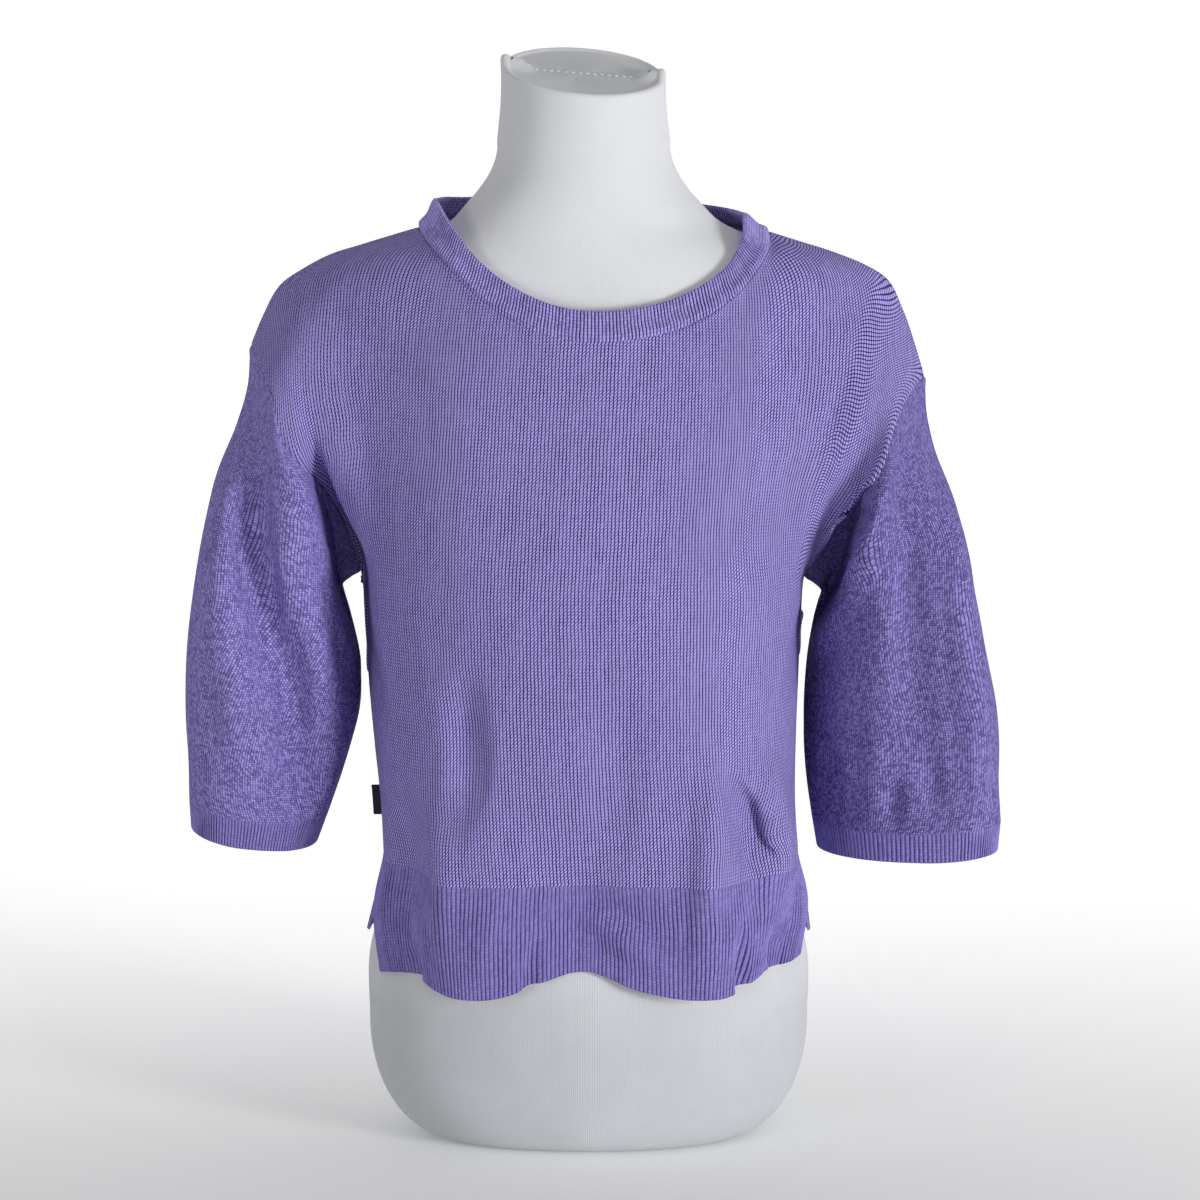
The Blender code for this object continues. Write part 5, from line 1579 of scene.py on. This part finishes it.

# %% [markdown]
# ### The form's cover, the label and the thread
#
# The form wears a white stretched jersey with soft clouds of uneven tone, and painted shade greys it towards
# its underside. Pictures of cloth could be laid over it; patterns worked out from the place need no file, and
# show no repeats.

# %% Cover, thread and tape
def jersey(name, shade, tint, relief, painted_shade_low=0.0):
    """A fine stretched jersey: narrow lines along the form, with soft clouds of wear.

    The last argument is how much greyer the cover is made near the form's underside: painted shade."""
    made = Material(name, roughness=0.82, sheen_weight=0.15, sheen_roughness=0.6, specular_ior_level=0.3)
    u, v = made.stitches()
    a = (u.math("FRACT") - 0.5).math("ABSOLUTE") * 2.0
    p = ((v * 0.8 - a * 0.5).math("FRACT") - 0.5) * 2.0
    height = (1.0 - a.step(0.55, 1.0)) * (0.6 + 0.4 * (1.0 - p * p))
    cloud, wear = made.noise(5.0, 4.0), made.noise(28.0, 3.0)
    tone = 0.45 + 0.25 * height + (cloud - 0.5) * 0.30 + (wear - 0.5) * 0.12
    # Painted shade: the cover is made greyer towards the form's underside, down to a cooler grey stop.
    tone = tone - (1.0 - made.parts(made.place())[2].step(0.06, 0.24)) * painted_shade_low
    painted_shade_stop = ((0.0, (0.44, 0.47, 0.49)),) if painted_shade_low else ()
    made.colour(tone, *painted_shade_stop, (0.3, shade), (0.9, tint))
    made.rough(0.78 + 0.12 * height)
    made.bump(height + (wear - 0.5) * 0.4, relief)
    return made.data


# The form's cover gets painted shade towards its underside.
form_cover = jersey("form_cover", (0.70, 0.71, 0.74), (0.91, 0.92, 0.95), 0.00012, painted_shade_low=0.50)
cap_cover = jersey("cap_cover", (0.69, 0.71, 0.735), (0.85, 0.87, 0.895), 0.00012)
thread = jersey("stitch_thread", (0.88, 0.88, 0.90), (0.95, 0.95, 0.96), 0.00005)
gap_shade = jersey("gap_shade", (0.03, 0.03, 0.035), (0.05, 0.05, 0.055), 0.00005)


def tape(name):
    """Woven tape: over and under, in a fine black twill."""
    made = Material(name, roughness=0.6, sheen_weight=0.2, specular_ior_level=0.35)
    u, v = made.stitches()
    twill = ((u + v) * 2.0).math("FRACT").step(0.2, 0.8) * (v * 4.0).math("FRACT").step(0.1, 0.5)
    fluff = made.noise(900.0, 2.0)
    made.colour(twill * 0.6 + fluff * 0.4, (0.0, (0.006, 0.006, 0.008)), (1.0, (0.030, 0.029, 0.035)))
    made.rough(0.55 + 0.3 * fluff)
    made.bump(twill + fluff * 0.5, 0.00012)
    return made.data


label_tape = tape("label_tape")
print("covers:", [made.name for made in (form_cover, cap_cover, thread, gap_shade, label_tape)])

# %% [markdown]
# ## What each piece stands for
#
# Every piece gets its finish and replaces its plain solid, which is hidden. The table also lists each sheet's
# slot and how large it was cut, in metres.

# %% Finishes, with a table of slots and sheets
SHEETS = {
    "front_panel": ("knit", plain_knit, (0.50, 0.45), 0.187, "stretched", ["form_torso_cover"]),
    "back_panel": ("knit", plain_knit, (0.50, 0.46), 0.194, "stretched", ["form_torso_cover"]),
    "hem_rib_front": ("rib_knit", rib_knit, (0.40, 0.075), None, "hung", ["front_panel"]),
    "hem_rib_back": ("rib_knit", rib_knit, (0.47, 0.058), None, "hung", ["back_panel"]),
    "sleeve_left": ("knit", sleeve_knit, (0.42, 0.32), 0.103, "hung", ["front_panel", "back_panel"]),
    "sleeve_right": ("knit", shaded_knit, (0.41, 0.32), 0.099, "hung", ["front_panel", "back_panel"]),
    "cuff_rib_left": ("rib_knit", rib_knit, (0.36, 0.020), None, "hung", ["sleeve_left"]),
    "cuff_rib_right": ("rib_knit", rib_knit, (0.37, 0.020), None, "hung", ["sleeve_right"]),
    "neckband": ("rib_knit", band_knit, (0.62, 0.056), None, "stretched", ["front_panel", "back_panel"]),
}
for name, (slot, material, flat, area, held, on) in SHEETS.items():
    cloth = made_pieces[name]
    cloth.data.materials.append(material)
    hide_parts(name)

form.data.materials.append(form_cover)
form.data.materials.append(cap_cover)
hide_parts("form_torso")
for name, material, slot in (
    ("cap_stitches", thread, "form_cover"),
    ("cap_gaps", gap_shade, "form_cover"),
    ("label_tape", label_tape, "label"),
):
    made_pieces[name].data.materials.append(material)
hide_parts("side_label")
print("sheets:", len(SHEETS) + 1, "pieces:", len(made_pieces))

# %% [markdown]
# ## Floor, lights and camera
#
# The floor is pale and runs up behind the form in one soft sweep. The camera stands three metres off and
# 9.5 degrees above the middle of the part.

# %% Floor
SWEEP_SIDE, SWEEP_START, SWEEP_ROUND = 4.5, 3.6, 1.2  # half its width, and where and how it turns up
quarter = np.linspace(0, 1, 40) * np.pi / 2
y = SWEEP_START + SWEEP_ROUND * np.concatenate([np.sin(quarter), [1]])
z = np.append(SWEEP_ROUND * (1 - np.cos(quarter)), SWEEP_SIDE)
y, z = np.append(-SWEEP_SIDE, y), np.append(0, z)
points = np.stack(np.broadcast_arrays([-SWEEP_SIDE, SWEEP_SIDE], y[:, None], z[:, None]), -1)
cells = quads(numbered(points))
mesh = bpy.data.meshes.new("studio_floor")
mesh.from_pydata(points.reshape(-1, 3).tolist(), [], cells.tolist())
mesh.shade_smooth()
floor = bpy.data.objects.new("studio_floor", mesh)
bpy.context.scene.collection.objects.link(floor)
paper = Material("studio_paper", roughness=0.9, specular_ior_level=0.1)
grain = paper.noise(1.5, 3.0)
paper.colour(grain, (0.3, (0.88, 0.88, 0.88)), (0.7, (0.90, 0.90, 0.90)))
paper.shader.inputs["Emission Color"].default_value = (1, 1, 1, 1)
glow = paper.parts(paper.place())[1].step(-0.5, 0.9) * 0.50  # the paper's far part glows a little
paper.tree.links.new(glow.socket, paper.shader.inputs["Emission Strength"])
mesh.materials.append(paper.data)
print("floor from y =", y[0], "to", round(float(y[-1]), 3))

# %% Lights
def area_light(name, at, target, size, power, colour=(1, 1, 1)):
    """A square soft light at a place, facing a target."""
    light = bpy.data.lights.new(name, "AREA")
    light.shape, light.size, light.energy, light.color = "SQUARE", size, power, colour
    made = bpy.data.objects.new(name, light)
    made.location = at
    made.rotation_euler = (Vector(target) - Vector(at)).to_track_quat("-Z", "Y").to_euler()
    bpy.context.scene.collection.objects.link(made)


MIDDLE = (0.0, 0.0, 0.40)
area_light("right", (2.45, -2.05, 0.60), MIDDLE, 0.8, 66.0)
area_light("left", (-2.0, -2.4, 0.60), MIDDLE, 0.9, 17.0)

# The world lights the cloth from above, and hardly from below. Straight from the camera it is seen as pale as
# the paper, so that a view from behind has the same ground.
SEEN_PALE = 0.88
world = bpy.data.worlds.new("studio")
world.use_nodes = True
tree = world.node_tree
sky, links = tree.nodes, tree.links
above, height = sky.new("ShaderNodeSeparateXYZ"), sky.new("ShaderNodeMapRange")
links.new(sky.new("ShaderNodeTexCoord").outputs["Generated"], above.inputs[0])
links.new(above.outputs["Z"], height.inputs["Value"])
for name, value in {"From Min": 0.15, "From Max": 0.95, "To Min": 0.06, "To Max": 0.62}.items():
    height.inputs[name].default_value = value
seen = Signal(tree, sky.new("ShaderNodeLightPath").outputs["Is Camera Ray"])
strength = (seen * SEEN_PALE).math("MAXIMUM", Signal(tree, height.outputs["Result"]))
links.new(strength.socket, sky["Background"].inputs["Strength"])
sky["Background"].inputs["Color"].default_value = (1.0, 1.0, 1.0, 1)
bpy.context.scene.world = world
bpy.context.scene.view_settings.view_transform = "Standard"
print("lights:", [light.name for light in bpy.data.lights])

# %% Camera
CAMERA_TARGET = Vector((0.008, 0.0, 0.374))
CAMERA_AWAY, CAMERA_UP = 3.042, np.radians(9.5)
FOCAL_LENGTH = 132.26  # in mm, on a sensor that is 36 mm wide
camera = bpy.data.objects.new("camera", bpy.data.cameras.new("camera"))
camera.location = CAMERA_TARGET + Vector((0, -np.cos(CAMERA_UP), np.sin(CAMERA_UP))) * CAMERA_AWAY
camera.rotation_euler = (CAMERA_TARGET - camera.location).to_track_quat("-Z", "Y").to_euler()
camera.data.sensor_width, camera.data.lens = 36.0, FOCAL_LENGTH
bpy.context.scene.collection.objects.link(camera)
bpy.context.scene.camera = camera
print("camera at", np.round(camera.location, 3).tolist())

# %% [markdown]
# ## The end
#
# The scene is brought up to date.

# %% The end
bpy.context.view_layer.update()
